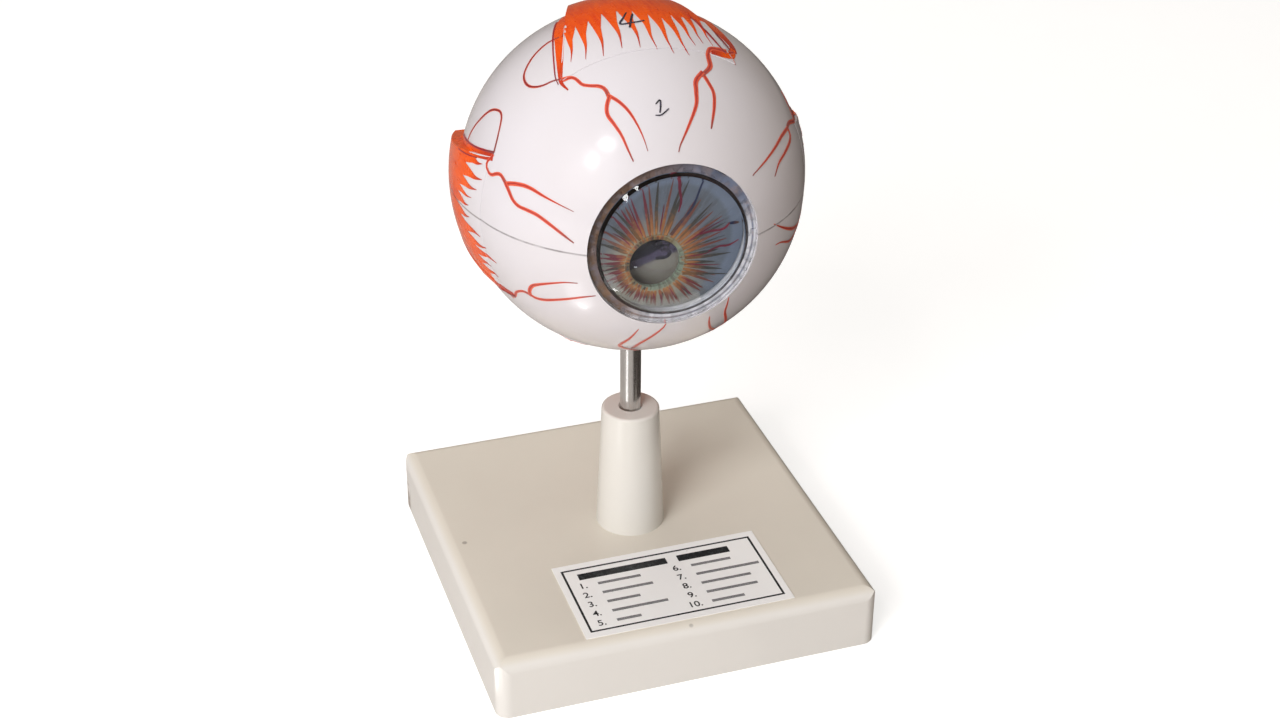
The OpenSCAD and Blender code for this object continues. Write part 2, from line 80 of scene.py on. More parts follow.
class EyeColours(bpy.types.PropertyGroup):
    lacquer: tint("Lacquer", "White lacquer of the ball", (0.71, 0.685, 0.72))
    lacquer_warm: tint("Aged lacquer", "Warmer patches in the white lacquer", (0.69, 0.65, 0.645))
    muscle: tint("Muscle orange", "Orange-red paint of the muscles", (0.88, 0.105, 0.002))
    muscle_dark: tint("Muscle shade", "Darker strokes in the muscles' paint", (0.70, 0.050, 0.003))
    vessel: tint("Vessel red", "Outer part of a painted vessel", (0.74, 0.115, 0.055))
    vessel_core: tint("Vessel core", "Darker middle of a painted vessel", (0.42, 0.035, 0.030))
    base: tint("Base", "Moulded tan plastic of the base", (0.78, 0.735, 0.645))
    pillar: tint("Pillar", "Moulded ivory plastic of the pillar", (0.77, 0.75, 0.70))
    ink: tint("Ink", "Black print and handwriting", (0.012, 0.014, 0.016))
    iris_slate: tint("Iris slate", "Blue-grey ground of the iris near its rim", (0.115, 0.135, 0.17))
    iris_olive: tint("Iris olive", "Green-tan ground of the iris near the pupil", (0.27, 0.255, 0.195))
    retina: tint("Retina", "Orange-yellow paint of the retina", (0.76, 0.36, 0.11))
    choroid: tint("Choroid", "Dark red-brown paint of the choroid", (0.20, 0.028, 0.016))


class EyeSizes(bpy.types.PropertyGroup):
    paint: FloatProperty(name="Paint thickness", description="How far painted strokes stand off the surface",
                         default=0.08 * MM, min=0.02 * MM, max=0.3 * MM, unit="LENGTH")
    print_t: FloatProperty(name="Print thickness", description="How far the print stands off the label",
                           default=0.03 * MM, min=0.01 * MM, max=0.1 * MM, unit="LENGTH")
    numeral: FloatProperty(name="Numeral height", description="Height of the label's numerals",
                           default=4.6 * MM, min=3 * MM, max=6 * MM, unit="LENGTH")
    strokes: IntProperty(name="Iris strokes", description="Number of painted rays round the pupil",
                         default=54, min=20, max=80)
    lens: FloatProperty(name="Camera lens", description="Focal length of the camera",
                        default=59.65, min=20, max=200, unit="CAMERA")


def colours():
    return bpy.context.scene.eye_colours


def sizes():
    return bpy.context.scene.eye_sizes


# ---- Shader trees ----

def rgba(colour):
    return (*colour[:3], 1.0)


class Term:
    """A value or colour in a shader tree. Arithmetic on it places Math nodes."""

    def __init__(self, graph, socket):
        self.graph = graph
        self.socket = socket

    def math(self, operation, *others, clamp=False):
        return self.graph.terms("ShaderNodeMath", dict(enumerate((self, *others))), operation=operation,
                                use_clamp=clamp)[0]

    def spread(self, low, high, to_low=0.0, to_high=1.0):
        """The value rescaled from one range to another, with soft ends."""
        return self.graph.terms("ShaderNodeMapRange", {0: self, 1: low, 2: high, 3: to_low, 4: to_high},
                                interpolation_type="SMOOTHSTEP")[0]

    def __add__(self, other):
        return self.math("ADD", other)

    def __sub__(self, other):
        return self.math("SUBTRACT", other)

    def __mul__(self, other):
        return self.math("MULTIPLY", other)

    def __truediv__(self, other):
        return self.math("DIVIDE", other)

    def __abs__(self):
        return self.math("ABSOLUTE")


def span(a, b):
    """The length of a vector with two parts."""
    return (a * a + b * b).math("SQRT")


class Graph:
    """A shader tree that is being wired up."""

    def __init__(self, tree):
        self.tree = tree

    def node(self, kind, sockets=None, **settings):
        """Adds a node, sets it up, and fills its sockets with values or links."""
        made = self.tree.nodes.new(kind)
        for key, value in settings.items():
            setattr(made, key, value)
        for key, value in (sockets or {}).items():
            if isinstance(value, Term):
                self.tree.links.new(value.socket, made.inputs[key])
            else:
                made.inputs[key].default_value = value
        return made

    def terms(self, kind, sockets=None, **settings):
        """Adds a node and gives its outputs in order."""
        return [Term(self, socket) for socket in self.node(kind, sockets, **settings).outputs]

    def named(self, kind, sockets=None, **settings):
        """Adds a node and gives its outputs by name."""
        return {term.socket.name: term for term in self.terms(kind, sockets, **settings)}

    def mix(self, factor, a, b):
        """A colour between two colours."""
        a, b = (x if isinstance(x, Term) else rgba(x) for x in (a, b))
        return self.terms("ShaderNodeMix", {0: factor, 6: a, 7: b}, data_type="RGBA")[2]

    def noise(self, vector, scale, detail=3.0, rough=0.55, warp=0.0):
        return self.terms("ShaderNodeTexNoise", {"Vector": vector, "Scale": scale, "Detail": detail,
                                                 "Roughness": rough, "Distortion": warp})[0]

    def place(self, centre=(0, 0, 0), turn=(0, 0, 0), stretch=(1, 1, 1)):
        """Object coordinates about a centre, turned and stretched for a pattern."""
        coords = self.named("ShaderNodeTexCoord")["Object"]
        moved = self.terms("ShaderNodeMapping", {"Vector": coords, "Location": tuple(-c for c in centre)})[0]
        return self.terms("ShaderNodeMapping", {"Vector": moved, "Rotation": turn, "Scale": stretch})[0]

    def axes(self, vector):
        """The three parts of a vector."""
        return self.terms("ShaderNodeSeparateXYZ", {0: vector})

    def joined(self, *parts):
        """A vector from its parts."""
        return self.terms("ShaderNodeCombineXYZ", dict(enumerate(parts)))[0]

    def stroke(self):
        """Places along and across a painted stroke, from 0 to 1."""
        return self.axes(self.named("ShaderNodeTexCoord")["UV"])[:2]

    def effect(self, name, **sockets):
        """Places a shared effect, and gives its outputs by name."""
        shared = bpy.data.node_groups.get(name) or group(name, *EFFECTS[name])
        sockets = {key.replace("_", " "): value for key, value in sockets.items()}
        return self.named("ShaderNodeGroup", sockets, node_tree=shared)


def group(name, inputs, outputs, build):
    """A node group with named sockets, wired by a function that returns its outputs in order."""
    tree = bpy.data.node_groups.new(name, "ShaderNodeTree")
    for label, kind, value in inputs:
        socket = tree.interface.new_socket(label, in_out="INPUT", socket_type="NodeSocket" + kind)
        if value is not None:
            socket.default_value = value
    for label, kind in outputs:
        tree.interface.new_socket(label, in_out="OUTPUT", socket_type="NodeSocket" + kind)
    graph = Graph(tree)
    into = graph.named("NodeGroupInput")
    for socket, term in zip(graph.node("NodeGroupOutput").inputs, build(graph, into)):
        tree.links.new(term.socket, socket)
    return tree


def build_patina(graph, into):
    """Slow changes of tone, faint cloudiness and a few small specks of dust."""
    vector, scale = into["Vector"], into["Scale"]
    slow, fine = graph.noise(vector, scale, 2.0), graph.noise(vector, scale * 9.0)
    tone = (slow * 0.85 + fine * 0.15).spread(0.32, 0.68)
    colour = graph.mix(tone * into["Amount"], into["Colour"], into["Shade"])
    cells = graph.named("ShaderNodeTexVoronoi", {"Vector": vector, "Scale": into["Speck Scale"]})
    picked = graph.terms("ShaderNodeSeparateColor", {0: cells["Color"]})[0].math("GREATER_THAN", 0.965)
    speck = cells["Distance"].spread(0.06, 0.11, 1.0, 0.0) * picked
    return graph.mix(speck * 0.55, colour, (0.16, 0.13, 0.11)), tone


def build_ripple(graph, into):
    """Height of moulded or lacquered plastic: a slow waviness and a fine orange peel."""
    wave = graph.noise(into["Vector"], into["Wave Scale"], 2.0)
    peel = graph.noise(into["Vector"], into["Peel Scale"], 2.0)
    return (wave * into["Wave"] + peel * into["Peel"],)


def build_brush(graph, into):
    """Marks that a loaded brush leaves: long ridges of paint, thin and thick places."""
    ridges = graph.noise(into["Vector"], into["Scale"], 5.0, 0.7, 0.4)
    load = graph.noise(into["Vector"], into["Scale"] * 0.22, 2.0)
    shade = (ridges * 0.6 + load * 0.4).spread(0.40, 0.68)
    return graph.mix(shade, into["Colour"], into["Shade"]), ridges


def build_scuff(graph, into):
    """Roughness with faint wipe marks and handling."""
    wipe = graph.noise(into["Vector"], into["Scale"], 4.0, 0.65, 1.5).spread(0.35, 0.7)
    return (wipe.math("MULTIPLY_ADD", into["Amount"], into["Roughness"], clamp=True),)


# The effects that several materials share: inputs with their usual values, outputs, and what wires them
EFFECTS = {
    "Patina": ([("Vector", "Vector", None), ("Scale", "Float", 12.0), ("Amount", "Float", 0.6),
                ("Speck Scale", "Float", 160.0), ("Colour", "Color", (1, 1, 1, 1)),
                ("Shade", "Color", (0.8, 0.8, 0.8, 1))],
               [("Colour", "Color"), ("Tone", "Float")], build_patina),
    "Ripple": ([("Vector", "Vector", None), ("Wave Scale", "Float", 45.0), ("Wave", "Float", 1.0),
                ("Peel Scale", "Float", 700.0), ("Peel", "Float", 0.05)],
               [("Height", "Float")], build_ripple),
    "Brush marks": ([("Vector", "Vector", None), ("Scale", "Float", 400.0), ("Colour", "Color", (1, 0, 0, 1)),
                     ("Shade", "Color", (0.5, 0, 0, 1))],
                    [("Colour", "Color"), ("Height", "Float")], build_brush),
    "Scuffs": ([("Vector", "Vector", None), ("Scale", "Float", 60.0), ("Amount", "Float", 0.15),
                ("Roughness", "Float", 0.2)],
               [("Roughness", "Float")], build_scuff),
}


class Finish(Graph):
    """A material being built: its tree, its shader and the usual last steps."""

    def __init__(self, name, **plain):
        self.material = bpy.data.materials.new(name)
        self.material.use_nodes = True
        super().__init__(self.material.node_tree)
        self.shader = self.tree.nodes["Principled BSDF"]
        for label, value in plain.items():
            self.shader.inputs[label.replace("_", " ")].default_value = value

    def feed(self, label, term):
        self.tree.links.new(term.socket, self.shader.inputs[label])

    def bump(self, height, distance, strength=0.5):
        """Feeds a height in the given distance to the shader's normal."""
        self.feed("Normal", self.terms("ShaderNodeBump", {"Height": height, "Distance": distance,
                                                          "Strength": strength})[0])

    def scuffed(self, vector, roughness, amount, scale=60.0):
        self.feed("Roughness", self.effect("Scuffs", Vector=vector, Scale=scale, Amount=amount,
                                           Roughness=roughness)["Roughness"])

    def lit_through(self):
        """Lets the light of lamps pass, so that what lies behind clear plastic isn't dark."""
        lamp = self.named("ShaderNodeLightPath")["Is Shadow Ray"]
        clear = self.terms("ShaderNodeBsdfTransparent", {"Color": (0.95, 0.96, 0.96, 1.0)})[0]
        both = self.node("ShaderNodeMixShader", {0: lamp, 1: Term(self, self.shader.outputs[0]), 2: clear})
        self.tree.links.new(both.outputs[0], self.tree.nodes["Material Output"].inputs["Surface"])


def darker(colour, share):
    return tuple(c * share for c in colour)


def moulded(name, colour, shade, roughness, centre, scale=14.0, amount=0.7, specks=150.0, wave=28.0,
            peel=0.015, scuff=0.10, depth=0.0002, gloss=0.25):
    """Glossy moulded plastic with patina, faint waviness and scuffs."""
    made = Finish(name, Coat_Weight=gloss, Coat_Roughness=0.12, Specular_IOR_Level=0.45)
    made.vector = made.place(centre)
    made.patina = made.effect("Patina", Vector=made.vector, Scale=scale, Amount=amount, Colour=rgba(colour),
                              Shade=rgba(shade), Speck_Scale=specks)
    made.feed("Base Color", made.patina["Colour"])
    made.scuffed(made.vector, roughness, scuff)
    made.bump(made.effect("Ripple", Vector=made.vector, Wave_Scale=wave, Peel=peel)["Height"], depth)
    return made


def inked(name, centre, fresh, worn, grain, thin, roughness, wipes=200.0, gloss=0.35):
    """Ink that has worn thin in places."""
    made = Finish(name, Specular_IOR_Level=gloss)
    vector = made.place(centre)
    made.feed("Base Color", made.mix(made.noise(vector, *grain).spread(*thin), fresh, worn))
    made.scuffed(vector, roughness, 0.1, wipes)
    return made.material


def coat(nodes, material):
    """Gives CAD nodes a material."""
    for name in nodes:
        slots = NODES[name].data.materials
        slots.clear()
        slots.append(material)


# ---- Mesh work ----

LANES = 5              # points across a painted stroke
CURVE_STEPS = 12       # steps between two given points of a curve, before it is spaced evenly
THINNEST = 0.1         # width in mm that a stroke never goes under
SEAM_CLEAR = 0.3 * MM  # paint ends this far from the seam between the halves


def placed(name, data):
    """A new object in the scene."""
    made = bpy.data.objects.new(name, data)
    bpy.context.scene.collection.objects.link(made)
    return made


def modelled(name, bm, material):
    """Turns a bmesh into an object."""
    mesh = bpy.data.meshes.new(name)
    bm.to_mesh(mesh)
    bm.free()
    mesh.materials.append(material)
    return placed(name, mesh)


def piece(name, bm, material, body):
    """Turns a bmesh into a piece that rides on a body."""
    made = modelled(name, bm, material)
    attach(made, body)
    return made


def square(bm, x, y, z, width, depth, turn=0.0):
    """A flat square in a bmesh, centred and scaled."""
    return bmesh.ops.create_grid(bm, x_segments=1, y_segments=1, size=0.5, matrix=Matrix.Translation(
        (x, y, z)) @ Matrix.Rotation(turn, 4, "Z") @ Matrix.Diagonal((width, depth, 1, 1)))


class Canvas:
    """The surface of some CAD nodes to paint on, reached by rays to or from a centre."""

    def __init__(self, names, inward=True, centre=EYE, reach=BALL_R):
        points, faces = [], []
        for name in names:
            mesh = NODES[name].data
            first = len(points)
            points += [v.co.copy() for v in mesh.vertices]
            faces += [[first + i for i in p.vertices] for p in mesh.polygons]
        self.tree = BVHTree.FromPolygons(points, faces)
        self.inward = inward
        self.centre = centre
        self.reach = reach

    def spot(self, direction, lift):
        """The point of the surface in a direction, lifted off it."""
        direction = direction.normalized()
        if self.inward:
            hit = self.tree.ray_cast(self.centre + direction * BALL_R * 1.3, -direction)
        else:
            hit = self.tree.ray_cast(self.centre, direction)
        if hit[0] is None:
            raise RuntimeError(f"no surface to paint on in direction {tuple(direction)}")
        return hit[0] + direction * (lift if self.inward else -lift)


def curve_through(points, step):
    """Points evenly spaced along a smooth curve through the given ones, each with its place from 0 to 1."""
    ends = [points[0] * 2 - points[1], *points, points[-1] * 2 - points[-2]]
    dense = []
    for a, b, c, d in zip(ends, ends[1:], ends[2:], ends[3:]):
        for t in (k / CURVE_STEPS for k in range(CURVE_STEPS)):
            dense.append(0.5 * (2 * b + (c - a) * t + (2 * a - 5 * b + 4 * c - d) * t * t
                                + (3 * b - a - 3 * c + d) * t ** 3))
    dense.append(points[-1])
    lengths = [0.0]
    for a, b in zip(dense, dense[1:]):
        lengths.append(lengths[-1] + (b - a).length)
    total = lengths[-1]
    count = max(4, round(total / step))
    made, k = [], 0
    for n in range(count + 1):
        at = total * n / count
        while k < len(lengths) - 2 and lengths[k + 1] < at:
            k += 1
        share = (at - lengths[k]) / max(lengths[k + 1] - lengths[k], 1e-12)
        made.append((dense[k].lerp(dense[k + 1], share), n / count))
    return made


def width_at(widths, t):
    """A width between those given along a stroke."""
    at = t * (len(widths) - 1)
    k = min(int(at), len(widths) - 2)
    return widths[k] * (1 - at + k) + widths[k + 1] * (at - k)


def ribbon(bm, stations, widths, outward, drop):
    """Paints one stroke: an edge across it, extruded from station to station and dropped on the surface."""
    uv = bm.loops.layers.uv.verify()
    places, row, edges = {}, [], []
    for n, (spot, t) in enumerate(stations):
        before, after = stations[max(n - 1, 0)][0], stations[min(n + 1, len(stations) - 1)][0]
        side = (after - before).cross(outward(spot)).normalized()
        width = max(width_at(widths, t), THINNEST) * MM
        spots = [drop(spot + side * width * (k / (LANES - 1) - 0.5)) for k in range(LANES)]
        if n == 0:
            row = [bm.verts.new(p) for p in spots]
            edges = [bm.edges.new(pair) for pair in zip(row, row[1:])]
        else:
            fresh = set(bmesh.ops.extrude_edge_only(bm, edges=edges)["geom"])
            row = [next(e.other_vert(v) for e in v.link_edges if e.other_vert(v) in fresh) for v in row]
            for v, p in zip(row, spots):
                v.co = p
            edges = [bm.edges.get(pair) for pair in zip(row, row[1:])]
        for k, v in enumerate(row):
            places[v] = (t, k / (LANES - 1))
    faces = {f for v in places for f in v.link_faces}
    for f in faces:
        for loop in f.loops:
            loop[uv].uv = places[loop.vert]
    bm.normal_update()
    turned = [f for f in faces if f.normal.dot(outward(f.calc_center_median())) < 0]
    bmesh.ops.reverse_faces(bm, faces=turned)


def lay_stroke(bm, canvas, points, widths, lift, step):
    """Paints a stroke on a canvas, along directions from its centre."""
    centre, facing = canvas.centre, 1 if canvas.inward else -1
    stations = curve_through([centre + p.normalized() * canvas.reach for p in points], step)
    ribbon(bm, stations, widths, lambda p: (p - centre) * facing, lambda p: canvas.spot(p - centre, lift))


def thicken(made, share=1.0):
    """Gives laid paint its thickness, outwards, as a share of the usual one."""
    solid = made.modifiers.new("Paint thickness", "SOLIDIFY")
    solid.thickness = sizes().paint * share
    solid.offset = 1.0
    solid.use_rim = True


def paint_halves(name, canvas, strokes, material, step=1.2, lift=0.03, rise=0.015, rises=5,
                 share=1.0):
    """Paints strokes on the ball or in it, cut at the seam so that each half keeps its own.

    The step is between points along a stroke and the lift is off the surface, both in mm. Each stroke lies
    one rise above the last, and after so many rises the next one starts again below.
    """
    painted = 0
    for half, sign in (("upper", 1), ("lower", -1)):
        bm = bmesh.new()
        for n, (points, widths) in enumerate(strokes):
            lay_stroke(bm, canvas, points, widths, (lift + rise * (n % rises)) * MM, step * MM)
        bmesh.ops.bisect_plane(bm, geom=[*bm.verts, *bm.edges, *bm.faces], dist=0.001 * MM,
                               plane_co=EYE + UP * sign * SEAM_CLEAR, plane_no=UP * sign, clear_inner=True)
        if bm.faces:
            thicken(piece(f"{name}_{half}", bm, material, f"{half}_half"), share)
            painted += 1
        else:
            bm.free()
    if not painted:
        raise RuntimeError(f"{name} has no strokes")


def toward(azimuth, elevation):
    """A direction from the ball's centre: azimuth 0 is to the front, positive to +X."""
    a, e = math.radians(azimuth), math.radians(elevation)
    return Vector((math.sin(a) * math.cos(e), -math.cos(a) * math.cos(e), math.sin(e)))


def trails(table):
    """Strokes whose points are given by azimuth and elevation."""
    return [([toward(*angles) for angles in points], widths) for points, widths in table]


# ---- Stage ----

# The camera: the point it looks at and its distance in mm, its angles in degrees, its roll in radians
LOOK_AT, AZIMUTH, ELEVATION, DISTANCE, ROLL = (7.295, 10.518, 90.0), -18.587, 30.648, 821.38, 0.0068
# The floor in m: half its width, where it starts and bends up, the bend's radius, and its top
FLOOR_HALF, FLOOR_START, BEND_AT, BEND_R, FLOOR_TOP = 8.0, -6.0, 2.2, 1.5, 6.0
# Cards on the floor: name, centre, size, turn, glow and tone
CARDS = (
    ("dark card", (0.54, 0.10), (1.02, 1.6), 0.0, 0.0, (0.07, 0.06, 0.055)),
    ("pale strip", (-0.135, -0.088), (0.095, 0.045), math.atan2(0.54, 0.84), 1.4, (0.9, 0.9, 0.9)),
    ("pale spot", (-0.098, -0.064), (0.013, 0.013), 0.0, 12.0, (0.9, 0.9, 0.9)),
    ("far pale spot", (-0.155, -0.255), (0.016, 0.016), 0.0, 20.0, (0.9, 0.9, 0.9)),
)
# Lamps: name, direction from the eye, distance, width, height, power, tone, and whether gloss mirrors them
LAMPS = (
    ("key softbox", (-0.65, -0.62, 0.43), 1.5, 0.9, 0.8, 18.4, (0.985, 0.985, 1.0), False),
    ("upper pane", (-0.45, -0.54, 0.71), 1.3, 0.15, 0.11, 1.3, (1.0, 1.0, 1.0), True),
    ("lower pane", (-0.62, -0.56, 0.55), 1.3, 0.08, 0.14, 0.9, (1.0, 1.0, 1.0), True),
    ("top softbox", (0.05, 0.35, 1.0), 1.5, 1.4, 1.4, 8.0, (1.0, 0.98, 0.95), False),
)


class EYE_OT_stage(bpy.types.Operator):
    """Sets the floor, the lights and the camera"""
    bl_idname = "eye_model.stage"
    bl_label = "Stage"

    def execute(self, context):
        self.camera(context.scene)
        self.floor()
        self.lights(context.scene)
        for card in CARDS:
            self.card(*card)
        return {"FINISHED"}

    def camera(self, scene):
        data = bpy.data.cameras.new("camera")
        data.lens = sizes().lens
        data.sensor_width = 36.0
        data.clip_start, data.clip_end = 0.02, 20.0
        camera = placed("camera", data)
        back = toward(AZIMUTH, ELEVATION)
        camera.location = Vector(LOOK_AT) * MM + back * DISTANCE * MM
        camera.rotation_mode = "QUATERNION"
        camera.rotation_quaternion = Quaternion(back, ROLL) @ (-back).to_track_quat("-Z", "Y")
        scene.camera = camera

    def floor(self):
        """A pale sweep: a flat floor that turns up far behind."""
        bm = bmesh.new()
        edges = [bm.edges.new([bm.verts.new((x, FLOOR_START, 0.0)) for x in (-FLOOR_HALF, FLOOR_HALF)])]
        bend = [(BEND_AT + BEND_R * math.sin(a), BEND_R - BEND_R * math.cos(a))
                for a in (math.radians(15 * k) for k in range(7))]
        for y, z in (*bend, (BEND_AT + BEND_R, FLOOR_TOP)):
            grown = bmesh.ops.extrude_edge_only(bm, edges=edges)["geom"]
            edges = [e for e in grown if isinstance(e, bmesh.types.BMEdge)
                     and all(v in grown for v in e.verts)]
            for v in (v for v in grown if isinstance(v, bmesh.types.BMVert)):
                v.co.y, v.co.z = y, z
        paper = Finish("pale paper sweep", Roughness=0.9, Specular_IOR_Level=0.1,
                       Emission_Color=(0.92, 0.97, 1.0, 1.0))
        tone = paper.mix(paper.noise(paper.place(), 30.0), (0.75, 0.72, 0.69), (0.78, 0.75, 0.72))
        # The paper glows only for the camera and through clear plastic, so that it stays pale without
        # lighting the object from below
        path = paper.named("ShaderNodeLightPath")
        mirrored = path["Glossy Depth"].math("GREATER_THAN", 0.5)
        through = path["Is Transmission Ray"] * (mirrored * -1.0 + 1.0)
        paper.feed("Emission Strength", path["Is Camera Ray"].math("MAXIMUM", through) * 0.56)
        # In reflections it is a darker table, as in the photograph, most of all between the clear pieces
        inside = path["Transmission Depth"].math("GREATER_THAN", 0.5) * 0.6 + 0.3
        paper.feed("Base Color", paper.mix(mirrored * inside, tone, (0.10, 0.09, 0.085)))
        floor = modelled("floor", bm, paper.material)
        for face in floor.data.polygons:
            face.use_smooth = True

    def card(self, name, centre, size, turn, glow, tone):
        """A flat card just above the floor that shows only as a reflection, on the rod and the cornea."""
        bm = bmesh.new()
        square(bm, *centre, 0.3 * MM, *size, turn)
        felt = Finish(name, Roughness=0.9, Emission_Color=(1.0, 1.0, 1.0, 1.0), Emission_Strength=glow)
        felt.feed("Base Color", felt.mix(felt.noise(felt.place(), 200.0), tone, darker(tone, 0.9)))
        made = modelled(name, bm, felt.material)
        made.visible_camera = made.visible_diffuse = made.visible_transmission = made.visible_shadow = False

    def lights(self, scene):
        world = bpy.data.worlds.new("studio")
        world.use_nodes = True
        background = world.node_tree.nodes["Background"]
        background.inputs["Color"].default_value = (1.0, 0.87, 0.765, 1.0)
        background.inputs["Strength"].default_value = 0.265
        scene.world = world
        scene.view_settings.view_transform = "Standard"
        for name, direction, distance, width, height, power, tone, mirrored in LAMPS:
            data = bpy.data.lights.new(name, "AREA")
            data.shape = "RECTANGLE"
            data.size, data.size_y = width, height
            data.energy = power
            data.color = tone
            lamp = placed(name, data)
            lamp.visible_camera = False
            lamp.visible_glossy = lamp.visible_transmission = mirrored
            away = Vector(direction).normalized()
            lamp.location = EYE + away * distance
            lamp.rotation_mode = "QUATERNION"
            lamp.rotation_quaternion = (-away).to_track_quat("-Z", "Y")


# ---- Stand ----

class EYE_OT_stand(bpy.types.Operator):
    """Finishes the moulded base and pillar"""
    bl_idname = "eye_model.stand"
    bl_label = "Base and pillar"

    def execute(self, context):
        paint = colours()
        base = moulded("base plastic", paint.base, darker(paint.base, 0.93), 0.30, (0, 0, BASE_TOP),
                       scale=9.0, amount=0.5, specks=90.0, scuff=0.06)
        # Browner low on the upright corner at the back left
        x, y, z = base.axes(base.place())
        corner = x.spread(-0.0710, -0.0735) * y.spread(0.0635, 0.0685)
        low = z.spread(0.0105, 0.0140, 1.0, 0.0) * z.spread(0.0003, 0.0015)
        darkening = corner * low * base.noise(base.vector, 160.0, 4.0).spread(0.32, 0.5)
        # The sides are painted lighter and greyer than the top: painted light, for the stronger light on the
        # sides
        lit_sides = base.mix(z.spread(0.0225, 0.0249), (0.81, 0.79, 0.75), base.patina["Colour"])
        lit_sides = base.mix(base.patina["Tone"] * 0.04, lit_sides, (0.4, 0.35, 0.3))
        base.feed("Base Color", base.mix(darkening * 0.8, lit_sides, (0.20, 0.13, 0.09)))
        coat(["base_plate"], base.material)
        pillar = moulded("pillar plastic", paint.pillar, darker(paint.pillar, 0.94), 0.26, (0, 0, BASE_TOP),
                         scale=12.0, amount=0.3, wave=14.0, peel=0.0, scuff=0.0, depth=0.00004)
        coat(["pillar"], pillar.material)
        return {"FINISHED"}


# The label's print, in mm: its frame's inset and line, the title bars' ends from the left, and the columns,
# each with its place, its first number and its bars' lengths
INSET, FRAME_LINE = 2.6, 0.85
TITLE_BARS = ((5.5, 41.0), (45.5, 66.5))
COLUMNS = ((4.0, 1, (17, 20, 13, 22, 9.5)), (41.5, 6, (16, 25.5, 20, 20.5, 13)))


class EYE_OT_label(bpy.types.Operator):
    """Prints the label: a black frame, numerals 1 to 10 and ruled bars"""
    bl_idname = "eye_model.label"
    bl_label = "Label"

    def execute(self, context):
        low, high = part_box("label_plate")
        film = Finish("label film", Specular_IOR_Level=0.4, Coat_Weight=0.1, Coat_Roughness=0.3)
        vector = film.place(low)
        patina = film.effect("Patina", Vector=vector, Scale=25.0, Amount=0.6, Speck_Scale=300.0,
                             Colour=(0.96, 0.965, 0.955, 1), Shade=(0.92, 0.92, 0.915, 1))
        film.feed("Base Color", patina["Colour"])
        film.scuffed(vector, 0.42, 0.15, 90.0)
        film.bump(film.noise(film.place(low, stretch=(1, 3, 1)), 1500.0), 0.00004)
        coat(["label_plate"], film.material)

        left, right = low.x + INSET * MM, high.x - INSET * MM
        front, back = low.y + (INSET + 0.4) * MM, high.y - (INSET + 0.6) * MM
        self.top = high.z + 0.004 * MM
        black, grey = bmesh.new(), bmesh.new()
        self.frame(black, left, right, front, back)
        for start, end in TITLE_BARS:
            self.bar(black, left + start * MM, left + end * MM, back - 5.4 * MM, 3.8 * MM)
        for column, first, lengths in COLUMNS:
            x = left + column * MM
            for k, length in enumerate(lengths):
                y = back - (11.3 + 5.9 * k) * MM
                number = first + k
                self.numeral(black, f"{number}.", x - (1.9 * MM if number == 10 else 0), y)
                self.bar(grey, x + 7.6 * MM, x + (7.6 + length) * MM, y + 0.1 * MM, 1.5 * MM)
        ink = inked("label ink", low, colours().ink, (0.055, 0.065, 0.07), (900.0,), (0.45, 0.8), 0.4)
        pale = inked("label ruled bars", low, (0.16, 0.165, 0.17), (0.30, 0.30, 0.31), (2200.0, 2.0),
                     (0.35, 0.7), 0.45)
        piece("label_print", black, ink, "stand")
        piece("label_bars", grey, pale, "stand")
        return {"FINISHED"}

    def bar(self, bm, x0, x1, y, height):
        """One printed bar, centred on y."""
        centre = Vector(((x0 + x1) / 2, y, self.top + sizes().print_t / 2))
        size = (x1 - x0, height, sizes().print_t)
        bmesh.ops.create_cube(bm, size=1.0, matrix=Matrix.Translation(centre) @ Matrix.Diagonal((*size, 1)))

    def frame(self, bm, x0, x1, y0, y1):
        """The printed frame: a flat panel, inset, its middle removed, and raised."""
        made = square(bm, (x0 + x1) / 2, (y0 + y1) / 2, self.top, x1 - x0, y1 - y0)
        panel = made["verts"][0].link_faces[0]
        bmesh.ops.inset_region(bm, faces=[panel], thickness=FRAME_LINE * MM, use_even_offset=True,
                               use_boundary=True)
        bmesh.ops.delete(bm, geom=[panel], context="FACES")
        ring = bm.faces[:]
        for f in ring:
            if f.normal.z > 0:
                f.normal_flip()
        raised = bmesh.ops.extrude_face_region(bm, geom=ring)["geom"]
        lifted = [v for v in raised if isinstance(v, bmesh.types.BMVert)]
        bmesh.ops.translate(bm, verts=lifted, vec=(0, 0, sizes().print_t))
        bmesh.ops.recalc_face_normals(bm, faces=bm.faces[:])

    def numeral(self, bm, text, x, y):
        """A numeral as a thin printed solid."""
        curve = bpy.data.curves.new("numeral", "FONT")
        curve.body = text
        curve.size = sizes().numeral
        curve.align_y = "CENTER"
        curve.extrude = sizes().print_t / 2
        curve.offset = 0.06 * MM
        holder = placed("numeral", curve)
        mesh = bpy.data.meshes.new_from_object(holder.evaluated_get(bpy.context.evaluated_depsgraph_get()))
        mesh.transform(Matrix.Translation((x, y, self.top + sizes().print_t / 2)))
        bm.from_mesh(mesh)
        bpy.data.meshes.remove(mesh)
        bpy.data.objects.remove(holder)
        bpy.data.curves.remove(curve)


